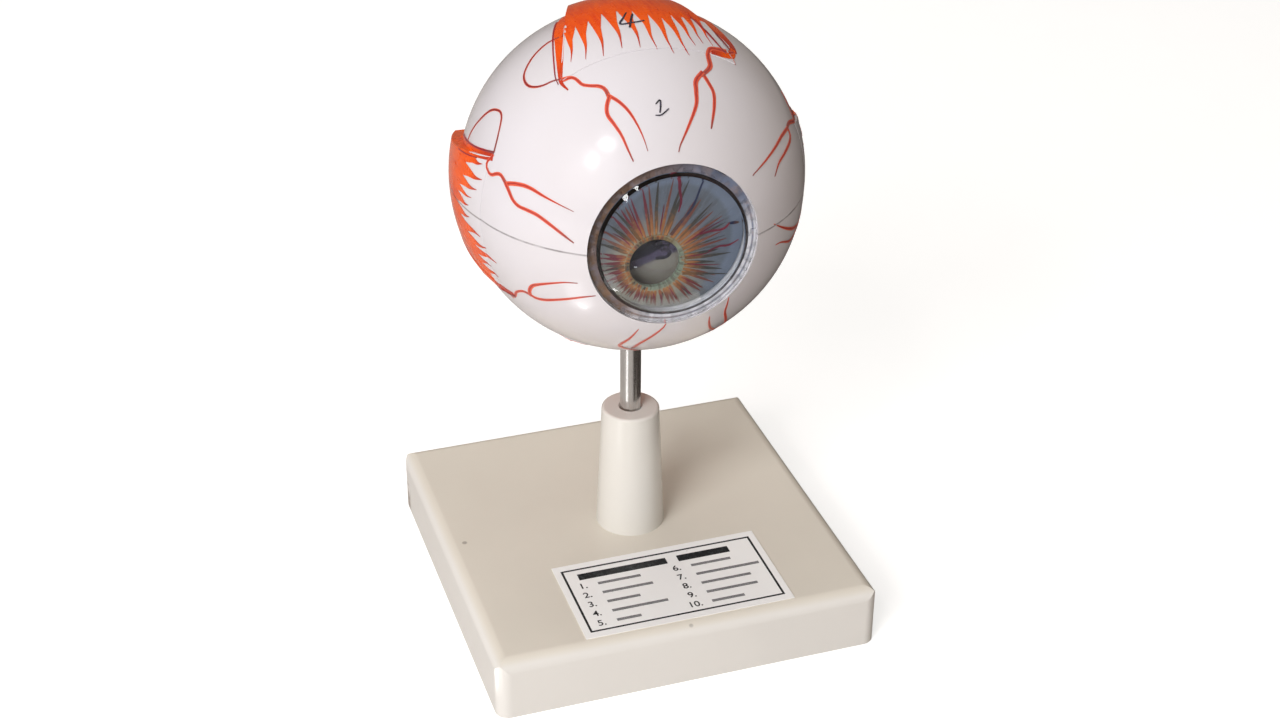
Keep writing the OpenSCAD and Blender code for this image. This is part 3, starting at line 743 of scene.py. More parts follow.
class EYE_OT_metal(bpy.types.Operator):
    """Finishes the steel rod, the bush and the screw"""
    bl_idname = "eye_model.metal"
    bl_label = "Metal"

    def execute(self, context):
        for name, node, colour, rough, stretch in (
            ("rod steel", "support_rod", (0.74, 0.73, 0.72), 0.20, (1, 1, 0.02)),
            ("bush metal", "rod_socket", (0.55, 0.54, 0.52), 0.35, (0.05, 0.05, 1)),
            ("screw steel", "pillar_screw", (0.50, 0.50, 0.51), 0.32, (0.1, 0.1, 1)),
        ):
            steel = Finish(name, Metallic=1.0, Anisotropic=0.4)
            vector = steel.place(stretch=stretch)
            drawn = steel.noise(vector, 2600.0, 4.0, 0.7)
            tone = drawn * 0.7 + steel.noise(steel.place(), 70.0) * 0.3
            steel.feed("Base Color", steel.mix(tone.spread(0.35, 0.65), darker(colour, 0.82), colour))
            steel.scuffed(vector, rough, 0.1, 900.0)
            steel.bump(drawn, 0.00001, 0.6)
            coat([node], steel.material)
        return {"FINISHED"}


# ---- The ball ----

SEAT_R = 29.95 * MM    # radius of the cornea's seat
SEAT_AT = -46.0 * MM   # the seat lies ahead of this
VERTICAL_MUSCLES = ["superior_rectus", "inferior_rectus"]
SIDE_MUSCLES = ["lateral_rectus_upper", "lateral_rectus_lower", "medial_rectus_upper", "medial_rectus_lower"]
OUTER = ["sclera_lower", "sclera_upper", *VERTICAL_MUSCLES, *SIDE_MUSCLES]


def lacquer(name):
    """White lacquer of the ball, glossy, hand-rubbed and a little uneven."""
    paint = colours()
    return moulded(name, paint.lacquer, paint.lacquer_warm, 0.20, EYE, scale=11.0, amount=0.4, specks=85.0,
                   wave=30.0, scuff=0.03, depth=0.0001, gloss=0.5)


class EYE_OT_shell(bpy.types.Operator):
    """Lacquers the white shell"""
    bl_idname = "eye_model.shell"
    bl_label = "White shell"

    def execute(self, context):
        white = lacquer("ball lacquer")
        about = white.place(EYE)
        x, y, z = white.axes(white.place(EYE, turn=(0, 0, -EYE_TURN)))
        # Painted shade darkens the seam between the halves, unevenly
        uneven = white.noise(about, 140.0).spread(0.25, 0.65, 0.35, 1.0)
        darkening = abs(z).spread(0.0, 0.0006, 1.0, 0.0) * uneven
        seam_shaded = white.mix(darkening * 0.85, white.patina["Colour"], (0.22, 0.20, 0.20))
        # The floor of the cornea's seat is painted slate, browner at the left; at the lower right it is
        # painted pale, a painted highlight of the light caught in the clear flange
        out = span(x, z)
        seat = out.math("LESS_THAN", SEAT_R) * y.math("LESS_THAN", SEAT_AT)
        slate = white.mix(x.spread(-0.02, 0.02), (0.29, 0.175, 0.115), (0.19, 0.215, 0.30))
        slate = white.mix(white.noise(about, 260.0).spread(0.4, 0.7), slate, (0.32, 0.26, 0.27))
        # Painted highlight: a pale band at the lower right, cut by a thin slate line
        low_right = (x * 0.64 - z * 0.77) / out
        edge_line = abs(out - 0.0289).spread(0.0002, 0.0005, 1.0, 0.0)
        caught_light = low_right.spread(0.1, 0.7) * out.spread(0.0262, 0.0268) * (edge_line * -0.8 + 1.0)
        slate = white.mix(caught_light, slate, (0.80, 0.78, 0.82))
        white.feed("Base Color", white.mix(seat, seam_shaded, slate))
        coat(["sclera_upper", "sclera_lower"], white.material)
        return {"FINISHED"}


def vessel_paint(name, outer, core):
    """Paint of a vessel: a darker core that wanders along the stroke's own length."""
    made = Finish(name, Specular_IOR_Level=0.45, Coat_Weight=0.3, Coat_Roughness=0.15)
    about = made.place(EYE)
    along, across = made.stroke()
    wander = (made.noise(about, 320.0) - 0.5) * 0.55
    middle = abs(across - 0.5 + wander).spread(0.06, 0.34, 1.0, 0.0)
    dry = along.spread(0.72, 1.0) * 0.75
    made.feed("Base Color", made.mix(dry, made.mix(middle, outer, core), (0.22, 0.075, 0.075)))
    made.scuffed(about, 0.28, 0.15, 200.0)
    made.bump(middle + made.noise(about, 900.0), 0.00005)
    return made.material


def near_nerve(reach, angle):
    """A direction so many degrees from the nerve's, at an angle round it in radians."""
    side = UP.cross(NERVE).normalized()
    around = side * math.cos(angle) + UP * math.sin(angle)
    return (NERVE * math.cos(math.radians(reach)) + around * math.sin(math.radians(reach))).normalized()


# Vessels on the front of the ball: azimuths and elevations in degrees, then widths in mm
FRONT_VESSELS = (
    # From the upper muscle's left edge, then its two branches
    (((-57.5, 53.4), (-53, 55.3), (-49.1, 54.9), (-45.1, 53.8), (-40.4, 53.9), (-35.7, 54.2), (-32.1, 53.3),
      (-28.8, 50.2)), (1.7, 1.2, 1.2, 1.3, 1.4, 1.5)),
    (((-30.5, 51.6), (-24.2, 49.4), (-19.4, 46.2), (-15.8, 41.8), (-13.5, 37.4), (-12.3, 33.7)),
     (1.3, 1.2, 1.0, 0.7, 0.4, 0.2)),
    (((-29.2, 51.2), (-29.7, 47.5), (-28.6, 44.7), (-25.5, 42), (-22.2, 38.6), (-19.7, 34.4), (-17.6, 30.6)),
     (1.5, 1.4, 1.3, 1.1, 0.9, 0.7, 0.4)),
    # From the upper muscle's right corner
    (((61.6, 55.0), (55.4, 57.1), (51.7, 59.4), (46.0, 61.6), (40.1, 60.8), (36.0, 58.7), (32.8, 56.8),
      (26.6, 55.7), (22.1, 55.2)), (1.8, 2.2, 2.1, 1.8, 1.7, 1.9, 1.9, 1.6, 1.4)),
    (((25.5, 56.2), (17.8, 54.0), (14.7, 50.4), (11.9, 46.4), (7.2, 42.1), (2.9, 37.8), (0.1, 34.6),
      (-0.9, 32.6)), (1.7, 1.8, 1.6, 1.3, 1.1, 0.9, 0.6, 0.3)),
    (((24.6, 55.9), (24.2, 51.9), (23.5, 48.3), (20.0, 44.1), (16.7, 40.5), (14.5, 37.8)),
     (1.5, 1.4, 1.3, 1.2, 1.0, 0.5)),
    (((58.0, 57.0), (54.8, 55.0), (51.1, 52.4)), (1.0, 0.7, 0.3)),
    # From the right muscle
    (((75.5, 31.5), (72.5, 28.0), (70.4, 24.2), (69.0, 22.7), (61.1, 25.4), (57.4, 25.7), (55.7, 25.2)),
     (1.4, 1.5, 1.6, 1.7, 1.6, 1.5, 1.5)),
    (((56.6, 25.4), (48.5, 25.4), (41.3, 24.0), (34.7, 22.4), (28.4, 20.6), (26.2, 19.8)),
     (1.4, 1.3, 1.1, 0.9, 0.6, 0.3)),
    (((56.3, 25.2), (56.1, 22.9), (53.4, 21.6), (46.6, 20.3), (41.0, 19.0), (36.8, 16.0)),
     (1.3, 1.3, 1.2, 1.0, 0.8, 0.3)),
    (((33.9, 0.9), (38.6, -2.1), (44.0, -5.1), (51.6, -8.3), (60.0, -9.5), (68.0, -8.0)),
     (0.3, 0.9, 1.3, 1.4, 1.5, 1.6)),
    (((36.3, -7.8), (40.3, -8.5), (49.8, -12.2), (58.0, -11.5), (63.0, -9.8)), (0.3, 0.8, 1.1, 1.3, 1.4)),
    # From the left muscle
    (((-73.6, 23.0), (-74.5, 21.1), (-75.4, 19.7), (-75.0, 18.2), (-73.2, 16.9), (-71.3, 16.9),
      (-69.2, 18.0), (-67.3, 18.4), (-65.7, 17.8), (-62.9, 16.0)), (1.4, 1.0, 0.9, 1.1, 1.3, 1.3, 1.4, 1.4)),
    (((-64.0, 16.4), (-61.4, 17.3), (-58.6, 17.9), (-55.9, 18.2), (-52.7, 18.0), (-49.0, 17.1),
      (-44.5, 16.0), (-36.8, 13.9)), (1.6, 1.5, 1.4, 1.1, 0.7, 0.4, 0.2)),
    (((-64.2, 16.8), (-61.9, 14.8), (-59.7, 12.6), (-57.0, 11.3), (-53.6, 11.0), (-49.5, 10.4), (-45.2, 8.7),
      (-41.1, 6.6), (-36.3, 3.8)), (1.5, 1.4, 1.2, 1.3, 1.3, 1.2, 1.0, 0.4)),
    (((-68.8, -28.4), (-65.0, -26.1), (-62.8, -23.5), (-59.4, -21.5), (-56.9, -21.2), (-55.1, -21.9)),
     (2.2, 1.6, 1.1, 1.0, 1.2, 1.5)),
    (((-55.4, -22.0), (-55.0, -19.4), (-53.0, -16.6), (-49.2, -14.6), (-44.6, -12.8), (-39.9, -11.3),
      (-35.5, -10.7)), (1.6, 1.5, 1.1, 0.8, 0.6, 0.3)),
    (((-55.7, -21.0), (-53.8, -22.1), (-49.9, -21.8), (-43.9, -19.8), (-38.9, -18.0), (-34.2, -16.3),
      (-29.8, -15.0)), (1.4, 1.3, 1.1, 1.0, 0.8, 0.3)),
    # From the lower muscle
    (((-15.4, -31.5), (-18.6, -38.2), (-23.5, -46.0), (-20.5, -51.5), (-16.0, -55.0), (-14.0, -60.0)),
     (0.3, 0.8, 1.2, 1.3, 1.5, 1.7)),
    (((-5.4, -29.0), (-6.1, -31.6), (-8.7, -35.7), (-14.1, -43.3), (-17.5, -50.5)),
     (0.3, 0.9, 1.1, 1.2, 1.3)),
    (((17.8, -22.0), (18.5, -25.6), (19.8, -30.7), (24.7, -37.5), (30.0, -44.0), (30.0, -50.0),
      (24.0, -58.0)), (0.3, 0.9, 1.1, 1.2, 1.4, 1.5, 1.7)),
    (((12.4, -30.0), (14.1, -34.4), (18.1, -40.3), (25.0, -46.0), (30.0, -50.0)), (0.3, 0.9, 1.1, 1.2, 1.3)),
)
TENDON_LOOPS = (
    (((-91.0, 67.2), (-94.5, 62.1), (-92.5, 57.4), (-88.5, 53.1), (-83.3, 49.2), (-77.3, 47.4),
      (-71.9, 47.5), (-66.7, 49.3), (-62.4, 52.2), (-58.1, 53.8)), (0.9, 1.0, 1.0, 0.9, 1.0, 0.8, 0.5)),
    (((-95.5, 17.6), (-95.1, 22.5), (-91.6, 28.8), (-87.5, 33.4), (-82.3, 35.3), (-78.9, 34.9),
      (-76.5, 32.3), (-74.5, 27.4), (-73.7, 23.6)), (0.9, 0.9, 1.0, 1.0, 0.9, 0.7, 0.8)),
)


class EYE_OT_vessels(bpy.types.Operator):
    """Paints the vessels on the white shell"""
    bl_idname = "eye_model.vessels"
    bl_label = "Vessels"

    def execute(self, context):
        paint = colours()
        red = vessel_paint("vessel paint", paint.vessel, paint.vessel_core)
        dark = vessel_paint("tendon outline paint", darker(paint.vessel, 0.8), (0.16, 0.01, 0.03))
        canvas = Canvas(OUTER)
        paint_halves("vessels", canvas, trails(FRONT_VESSELS), red)
        paint_halves("tendon_outlines", canvas, trails(TENDON_LOOPS), dark)
        paint_halves("rear_vessels", canvas, self.rear_strokes(), red)
        return {"FINISHED"}

    def rear_strokes(self):
        """Short forked vessels round the nerve at the back, which the photograph doesn't show."""
        draw = random.Random(7)
        made = []
        for k in range(6):
            angle = math.radians(60 * k + draw.uniform(-9, 9) + 28)
            bend = draw.uniform(-0.25, 0.25)
            lines = [(((13, 0), (19, bend * 0.4), (25, bend * 0.1), (30, bend * 0.5)), (1.6, 1.4, 1.3))]
            for turn in (-1, 1):
                reach = draw.uniform(42, 50)
                spots = ((29.5, bend * 0.5), (34, bend + turn * 0.10), ((reach + 36) / 2, bend + turn * 0.13),
                         (reach, bend + turn * draw.uniform(0.2, 0.3)))
                lines.append((spots, (1.2, 1.0, 0.7, 0.2)))
            for spots, widths in lines:
                made.append(([near_nerve(reach, angle + off) for reach, off in spots], widths))
        return made


# ---- Muscles ----

def on_ball(side, u, v):
    """A direction to the ball's surface, from a place across (u) and ahead (v) on one side of it, in mm."""
    r = BALL_R / MM + 0.8
    out = math.sqrt(max(r * r - u * u - v * v, 1.0))
    local = {"up": (u, -v, out), "down": (-u, -v, -out), "left": (-out, -v, u), "right": (out, -v, u)}[side]
    return Matrix.Rotation(EYE_TURN if side in ("up", "down") else 0.0, 3, "Z") @ Vector(local)


def on_sides(table):
    """Strokes laid on the sides of the ball that a table names, from places across and ahead in mm."""
    return [([on_ball(side, u, v) for u, v in points], widths)
            for sides, strokes in table.items() for side in sides for points, widths in strokes]


# Teeth of the tendon's painted edge: base across, base ahead, tip across, tip ahead, width, all in mm
UPPER_TEETH = [
    (-22.6, 1.0, -26.3, 17.4, 5.0), (-18.0, -0.6, -21.6, 19.4, 5.4), (-13.2, -2.4, -15.8, 21.1, 5.8),
    (-7.8, -3.6, -9.0, 20.1, 6.0), (-2.6, -1.2, -2.9, 21.3, 5.4), (2.4, 1.6, 2.8, 22.6, 5.0),
    (6.8, 3.4, 8.3, 24.6, 4.6), (10.7, 5.6, 13.7, 24.9, 4.0), (14.8, 5.0, 17.2, 19.9, 3.6),
    (18.6, 4.0, 20.5, 18.0, 3.2), (22.0, 3.0, 24.2, 17.8, 3.0),
]
SIDE_TEETH = [
    (18.6, 3.0, 19.8, 13.0, 5.2), (13.6, 0.6, 14.8, 15.0, 5.6), (9.1, -2.6, 10.2, 13.0, 5.4),
    (5.6, -2.6, 6.0, 10.2, 3.6), (2.2, -1.6, 2.3, 8.2, 4.8), (-2.6, -2.4, -2.1, 8.6, 5.2),
    (-7.0, -0.4, -7.3, 15.0, 6.0), (-11.2, 2.2, -11.0, 17.4, 5.4), (-14.6, 5.0, -15.0, 22.0, 5.0),
    (-18.2, 9.4, -18.9, 16.5, 4.2), (-21.6, 11.0, -22.4, 19.0, 3.8),
]
# How a tooth narrows from its base to its tip
UPPER_TAPER, SIDE_TAPER = (1.0, 0.97, 0.70, 0.42, 0.24, 0.10, 0.03), (1.0, 1.0, 0.86, 0.62, 0.40, 0.18, 0.03)

# Wider strokes along the muscles' borders, and thin dark lines along the tendons' edges
MUSCLE_EDGES = {
    ("up", "down"): (
        (((-17.5, -25.0), (-21.0, -16.0), (-24.5, -6.0), (-27.0, 4.0), (-29.2, 13.0), (-30.6, 19.0),
          (-31.2, 22.6), (-29.8, 26.6)), (0.8, 2.6, 4.2, 4.6, 4.8, 4.4, 3.8, 3.2, 2.4, 1.5, 0.5)),
        (((19.0, -25.0), (25.0, -16.0), (27.2, -8.0), (28.6, -1.5), (31.4, 6.0), (33.2, 11.0), (33.4, 15.5)),
         (0.8, 4.0, 7.0, 8.0, 7.4, 6.0, 4.6, 3.2, 1.8)),
        (((33.0, 13.5), (31.0, 18.6), (27.5, 20.4), (22.5, 21.0)), (2.4, 2.6, 2.8, 2.8, 2.4)),
    ),
    ("left", "right"): (
        (((13.5, -24.0), (16.5, -16.0), (18.6, -6.6), (20.6, 2.7), (22.2, 9.8), (23.9, 16.8)),
         (0.8, 4.2, 3.6, 3.2, 3.0, 2.8)),
        (((-19.5, -17.0), (-24.0, -6.0), (-26.0, 2.0), (-27.4, 10.0), (-28.0, 17.0), (-27.6, 23.4)),
         (0.8, 3.0, 5.0, 5.6, 5.2, 4.0, 2.6, 1.6)),
    ),
}
MUSCLE_OUTLINES = {
    ("up", "down"): (
        (((-23.4, -16.0), (-27.0, -6.0), (-29.6, 4.0), (-31.4, 13.0), (-32.4, 19.0), (-32.2, 22.6)),
         (0.7, 0.7, 0.6, 0.5, 0.5, 0.3)),
        (((19.6, 1.0), (22.6, 8.0), (25.8, 15.0), (28.4, 19.6)), (0.3, 0.9, 1.0, 0.8, 0.3)),
        (((24.6, -1.0), (28.0, 6.0), (30.4, 12.0), (31.4, 15.4)), (0.4, 0.7, 0.8, 0.5)),
    ),
    ("left", "right"): (
        (((18.6, -16.0), (20.4, -6.6), (22.2, 2.7), (23.8, 9.8), (25.3, 16.4)), (0.8, 0.8, 0.7, 0.8, 0.9)),
        (((17.2, -6.0), (18.8, 2.0), (20.4, 9.0)), (0.2, 0.5, 0.5, 0.2)),
        (((-26.4, -6.0), (-28.2, 2.0), (-29.2, 10.0), (-29.4, 17.0), (-28.6, 23.8)),
         (0.8, 0.8, 0.7, 0.7, 0.9)),
    ),
}


def muscle_brush(made):
    """Brush-painted orange with darker strokes along the fibres."""
    paint = colours()
    return made.effect("Brush marks", Vector=made.place(EYE, stretch=(1.0, 0.13, 1.0)), Scale=480.0,
                       Colour=rgba(paint.muscle), Shade=rgba(paint.muscle_dark))


class EYE_OT_muscles(bpy.types.Operator):
    """Paints the muscles: orange bellies, toothed tendon edges and outlines"""
    bl_idname = "eye_model.muscles"
    bl_label = "Muscles"

    def execute(self, context):
        for name, nodes in (("vertical muscle paint", VERTICAL_MUSCLES), ("side muscle paint", SIDE_MUSCLES)):
            self.belly_and_tendon(name, nodes)
        orange = self.teeth_paint()
        outline = vessel_paint("muscle outline paint", (0.50, 0.03, 0.035), (0.20, 0.012, 0.02))
        canvas = Canvas(OUTER)
        paint_halves("muscle_teeth", canvas, self.teeth(), orange, 1.0)
        paint_halves("muscle_edges", canvas, on_sides(MUSCLE_EDGES), orange, 1.0)
        paint_halves("muscle_outlines", canvas, on_sides(MUSCLE_OUTLINES), outline, 1.0, 0.16)
        return {"FINISHED"}

    def belly_and_tendon(self, name, nodes):
        """A muscle's own solid: orange behind the tendon's edge, white lacquer ahead of it."""
        made = lacquer(name)
        brush = muscle_brush(made)
        x, y, z = made.axes(made.place(EYE))
        if nodes is VERTICAL_MUSCLES:
            # The lower muscle is the upper one's mirror image
            turned = x * z.spread(-0.001, 0.001, -1.0, 1.0)
            edge = turned.spread(-0.008, 0.009, -0.0035, 0.0045)
        else:
            edge = z.spread(-0.025, -0.008, 0.014, -0.0026) + z.spread(0.009, 0.018, 0.0, 0.006)
        ragged = (brush["Height"] - 0.5) * 0.004
        orange = (y * -1.0 - edge + ragged).spread(-0.0006, 0.0004, 1.0, 0.0)
        painted = made.mix(orange, made.patina["Colour"], brush["Colour"])
        if nodes is SIDE_MUSCLES:
            # The halves' seam runs through the side muscles, painted dark there as painted shade in the gap
            painted = made.mix(abs(z).spread(0.0, 0.0006, 0.85, 0.0), painted, (0.22, 0.19, 0.19))
        made.feed("Base Color", painted)
        made.feed("Coat Weight", orange * -0.4 + 0.5)
        made.bump(brush["Height"] * orange, 0.00025)
        coat(nodes, made.material)

    def teeth_paint(self):
        """The muscles' orange: brush ridges, a glossy skin, and tips that end darker."""
        made = Finish("tendon teeth paint", Specular_IOR_Level=0.35, Coat_Weight=0.15, Coat_Roughness=0.12)
        brush = muscle_brush(made)
        tip = made.stroke()[0].spread(0.6, 0.95) * 0.8
        made.feed("Base Color", made.mix(tip, brush["Colour"], (0.40, 0.028, 0.022)))
        made.scuffed(made.place(EYE), 0.24, 0.14, 120.0)
        made.bump(brush["Height"], 0.00015)
        return made.material

    def teeth(self):
        """Strokes from under the belly to each tooth's tip, bent a little on the way."""
        made = []
        for sides, table, taper in ((("up", "down"), UPPER_TEETH, UPPER_TAPER),
                                    (("left", "right"), SIDE_TEETH, SIDE_TAPER)):
            strokes = []
            for base_u, base_v, tip_u, tip_v, width in table:
                bend = 0.5 if tip_u > base_u else -0.5
                line = ((base_u, base_v - 5.0), (base_u, base_v),
                        (base_u * 0.62 + tip_u * 0.38, base_v * 0.6 + tip_v * 0.4),
                        (base_u * 0.28 + tip_u * 0.72 - bend, base_v * 0.28 + tip_v * 0.72), (tip_u, tip_v))
                strokes.append((line, [width * share for share in taper]))
            made += on_sides({sides: strokes})
        return made


# Handwritten numbers, as strokes with widths in mm: the 1 by azimuths and elevations, the 4 by places across
# and ahead on the upper muscle, and the 3 by places across and up, about its middle on the lens
NUMBER_1 = (
    (((-7.2, 48.5), (-4.8, 49.7), (-5.2, 47.4), (-5.9, 45.5)), (0.35, 0.55, 0.55, 0.45)),
    (((-8.0, 44.8), (-5.3, 44.8), (-1.5, 46.6)), (0.4, 0.5, 0.4)),
)
NUMBER_4 = (
    (((-2.4, 1.2), (-4.4, 4.6), (-6.4, 8.0), (-2.4, 8.4), (2.2, 7.8)), (0.5, 0.7, 0.7, 0.6)),
    (((-0.6, 2.6), (-2.2, 6.6), (-3.8, 11.0)), (0.6, 0.8, 0.7)),
)
NUMBER_3 = ((-2.4, 2.4), (-0.4, 3.3), (1.7, 2.5), (1.4, 0.9), (-0.4, 0.3), (1.6, 0.1), (2.7, -1.4),
            (1.3, -3.0), (-2.2, -3.1))


class EYE_OT_numerals(bpy.types.Operator):
    """Writes the handwritten key numbers on the shell, the upper muscle and the lens"""
    bl_idname = "eye_model.numerals"
    bl_label = "Handwritten numbers"

    def execute(self, context):
        pen = inked("pen ink", EYE, colours().ink, (0.07, 0.055, 0.10), (1400.0,), (0.35, 0.75), 0.35,
                    wipes=400.0, gloss=0.4)
        canvas = Canvas(OUTER)
        for name, strokes in (("number_1", trails(NUMBER_1)), ("number_4", on_sides({("up",): NUMBER_4}))):
            paint_halves(name, canvas, strokes, pen, step=0.5, lift=0.2)
        # The number on the lens is seen through the pupil
        centre = EYE + AXIS * 20 * MM
        lens = Canvas(["lens"], centre=centre, reach=29.2 * MM)
        middle = EYE + (AXIS * 49 - SIDEWAYS * 2.4 - UP * 4.4) * MM
        points = [middle + (SIDEWAYS * x + UP * y) * MM - centre for x, y in NUMBER_3]
        bm = bmesh.new()
        lay_stroke(bm, lens, points, (1.0, 1.5, 1.4, 1.1), 0.03 * MM, 0.6 * MM)
        thicken(piece("number_3", bm, pen, "lens"))
        return {"FINISHED"}


# ---- Clear pieces ----

class EYE_OT_clear(bpy.types.Operator):
    """Finishes the clear cornea, lens and vitreous ball"""
    bl_idname = "eye_model.clear"
    bl_label = "Clear pieces"

    def execute(self, context):
        for name, node, colour, through, rough, ior in (
            ("cornea acrylic", "cornea", (0.97, 0.985, 1.0), 1.0, 0.02, 1.42),
            ("lens acrylic", "lens", (0.66, 0.62, 0.55), 0.72, 0.05, 1.35),
            ("vitreous resin", "vitreous", (0.80, 0.88, 0.89), 1.0, 0.03, 1.12),
        ):
            clear = Finish(name, Base_Color=rgba(colour), Transmission_Weight=through, IOR=ior, Metallic=0.0)
            about = clear.place(EYE)
            if node == "lens":
                # The lens is cloudy below; its top is painted dark, most at the upper left, as painted shade
                # of the iris's rim and the dark inside of the ball
                x, _, z = clear.axes(about)
                wavy = x * -0.4 + (z - 0.0042) + clear.noise(about, 80.0, 2.0) * 0.004
                shaded_top = clear.mix(wavy.spread(-0.0088, -0.0066), colour, (0.19, 0.165, 0.30))
                clear.feed("Base Color", clear.mix(wavy.spread(-0.0048, -0.0030), shaded_top, (0.025, 0.03, 0.06)))
            haze = clear.noise(about, 90.0, 4.0, 0.6, 1.0).spread(0.5, 0.8, rough, rough + 0.05)
            clear.feed("Roughness", haze)
            clear.bump(clear.noise(about, 40.0, 2.0), 0.00004)
            clear.lit_through()
            coat([node], clear.material)
        return {"FINISHED"}


# The iris in mm: the disc's face from the ball's centre, how far left and down the pupil lies, and radii
# about the pupil's centre: of the pupil, of where the rays start, and of the raised rim with a little room
FACE_AT, PUPIL_LEFT, PUPIL_DOWN, PUPIL_R, RAY_START, RIM_R = 51.155, 5.6, 7.6, 9.0, 10.6, 10.7
LONG_TAPER = (0.5, 0.95, 1.0, 0.95, 0.9, 0.8, 0.65, 0.45, 0.15)
# Paints of the rays: the tone near the pupil and the tone further out
RAY_TONES = {
    "ochre": ((0.38, 0.175, 0.065), (0.30, 0.115, 0.045)),
    "rust": ((0.30, 0.125, 0.05), (0.15, 0.055, 0.045)),
    "maroon": ((0.28, 0.095, 0.045), (0.14, 0.030, 0.045)),
    "olive": ((0.17, 0.085, 0.04), (0.05, 0.050, 0.047)),
    "navy": ((0.10, 0.05, 0.04), (0.02, 0.028, 0.07)),
    "crimson": ((0.20, 0.03, 0.05), (0.13, 0.015, 0.035)),
}
# Rays and vessels that stand out: paint, places by angle and distance from the pupil's centre, and widths
MARKED_RAYS = (
    ("olive", ((119, 10.7), (120, 15.0), (121.5, 20.0), (123, 25.2)), (1.0, 1.1, 1.0, 0.8, 0.4)),
    ("olive", ((-28.6, 11.3), (-24.0, 14.5), (-19.5, 20.0), (-16.4, 27.0)), (1.0, 1.1, 0.8, 0.5, 0.3)),
    ("olive", ((180, 10.7), (181, 14.0), (182, 18.0)), (0.8, 0.9, 0.5, 0.2)),
    ("navy", ((61, 11.4), (58.5, 16.0), (56.5, 21.0), (57.0, 25.4), (59.5, 31.0), (60.2, 33.8)),
     (1.2, 1.3, 1.0, 0.8, 0.7, 0.6)),
    ("crimson", ((82.0, 33.8), (78.0, 33.2), (74.5, 31.0), (72.5, 28.0), (68.0, 24.0), (66.0, 20.0)),
     (0.6, 1.1, 1.1, 0.9, 0.8, 0.4)),
    ("crimson", ((24.5, 28.9), (22.4, 26.0), (26.0, 22.0), (29.4, 18.0)), (0.7, 0.9, 0.9, 0.5)),
    ("navy", ((21.8, 31.8), (23.4, 29.8), (24.6, 28.3)), (0.5, 1.2, 1.1, 0.5)),
    ("crimson", ((10.0, 30.0), (7.5, 26.5), (8.5, 23.0), (6.0, 19.0)), (0.3, 0.8, 0.7, 0.3)),
)


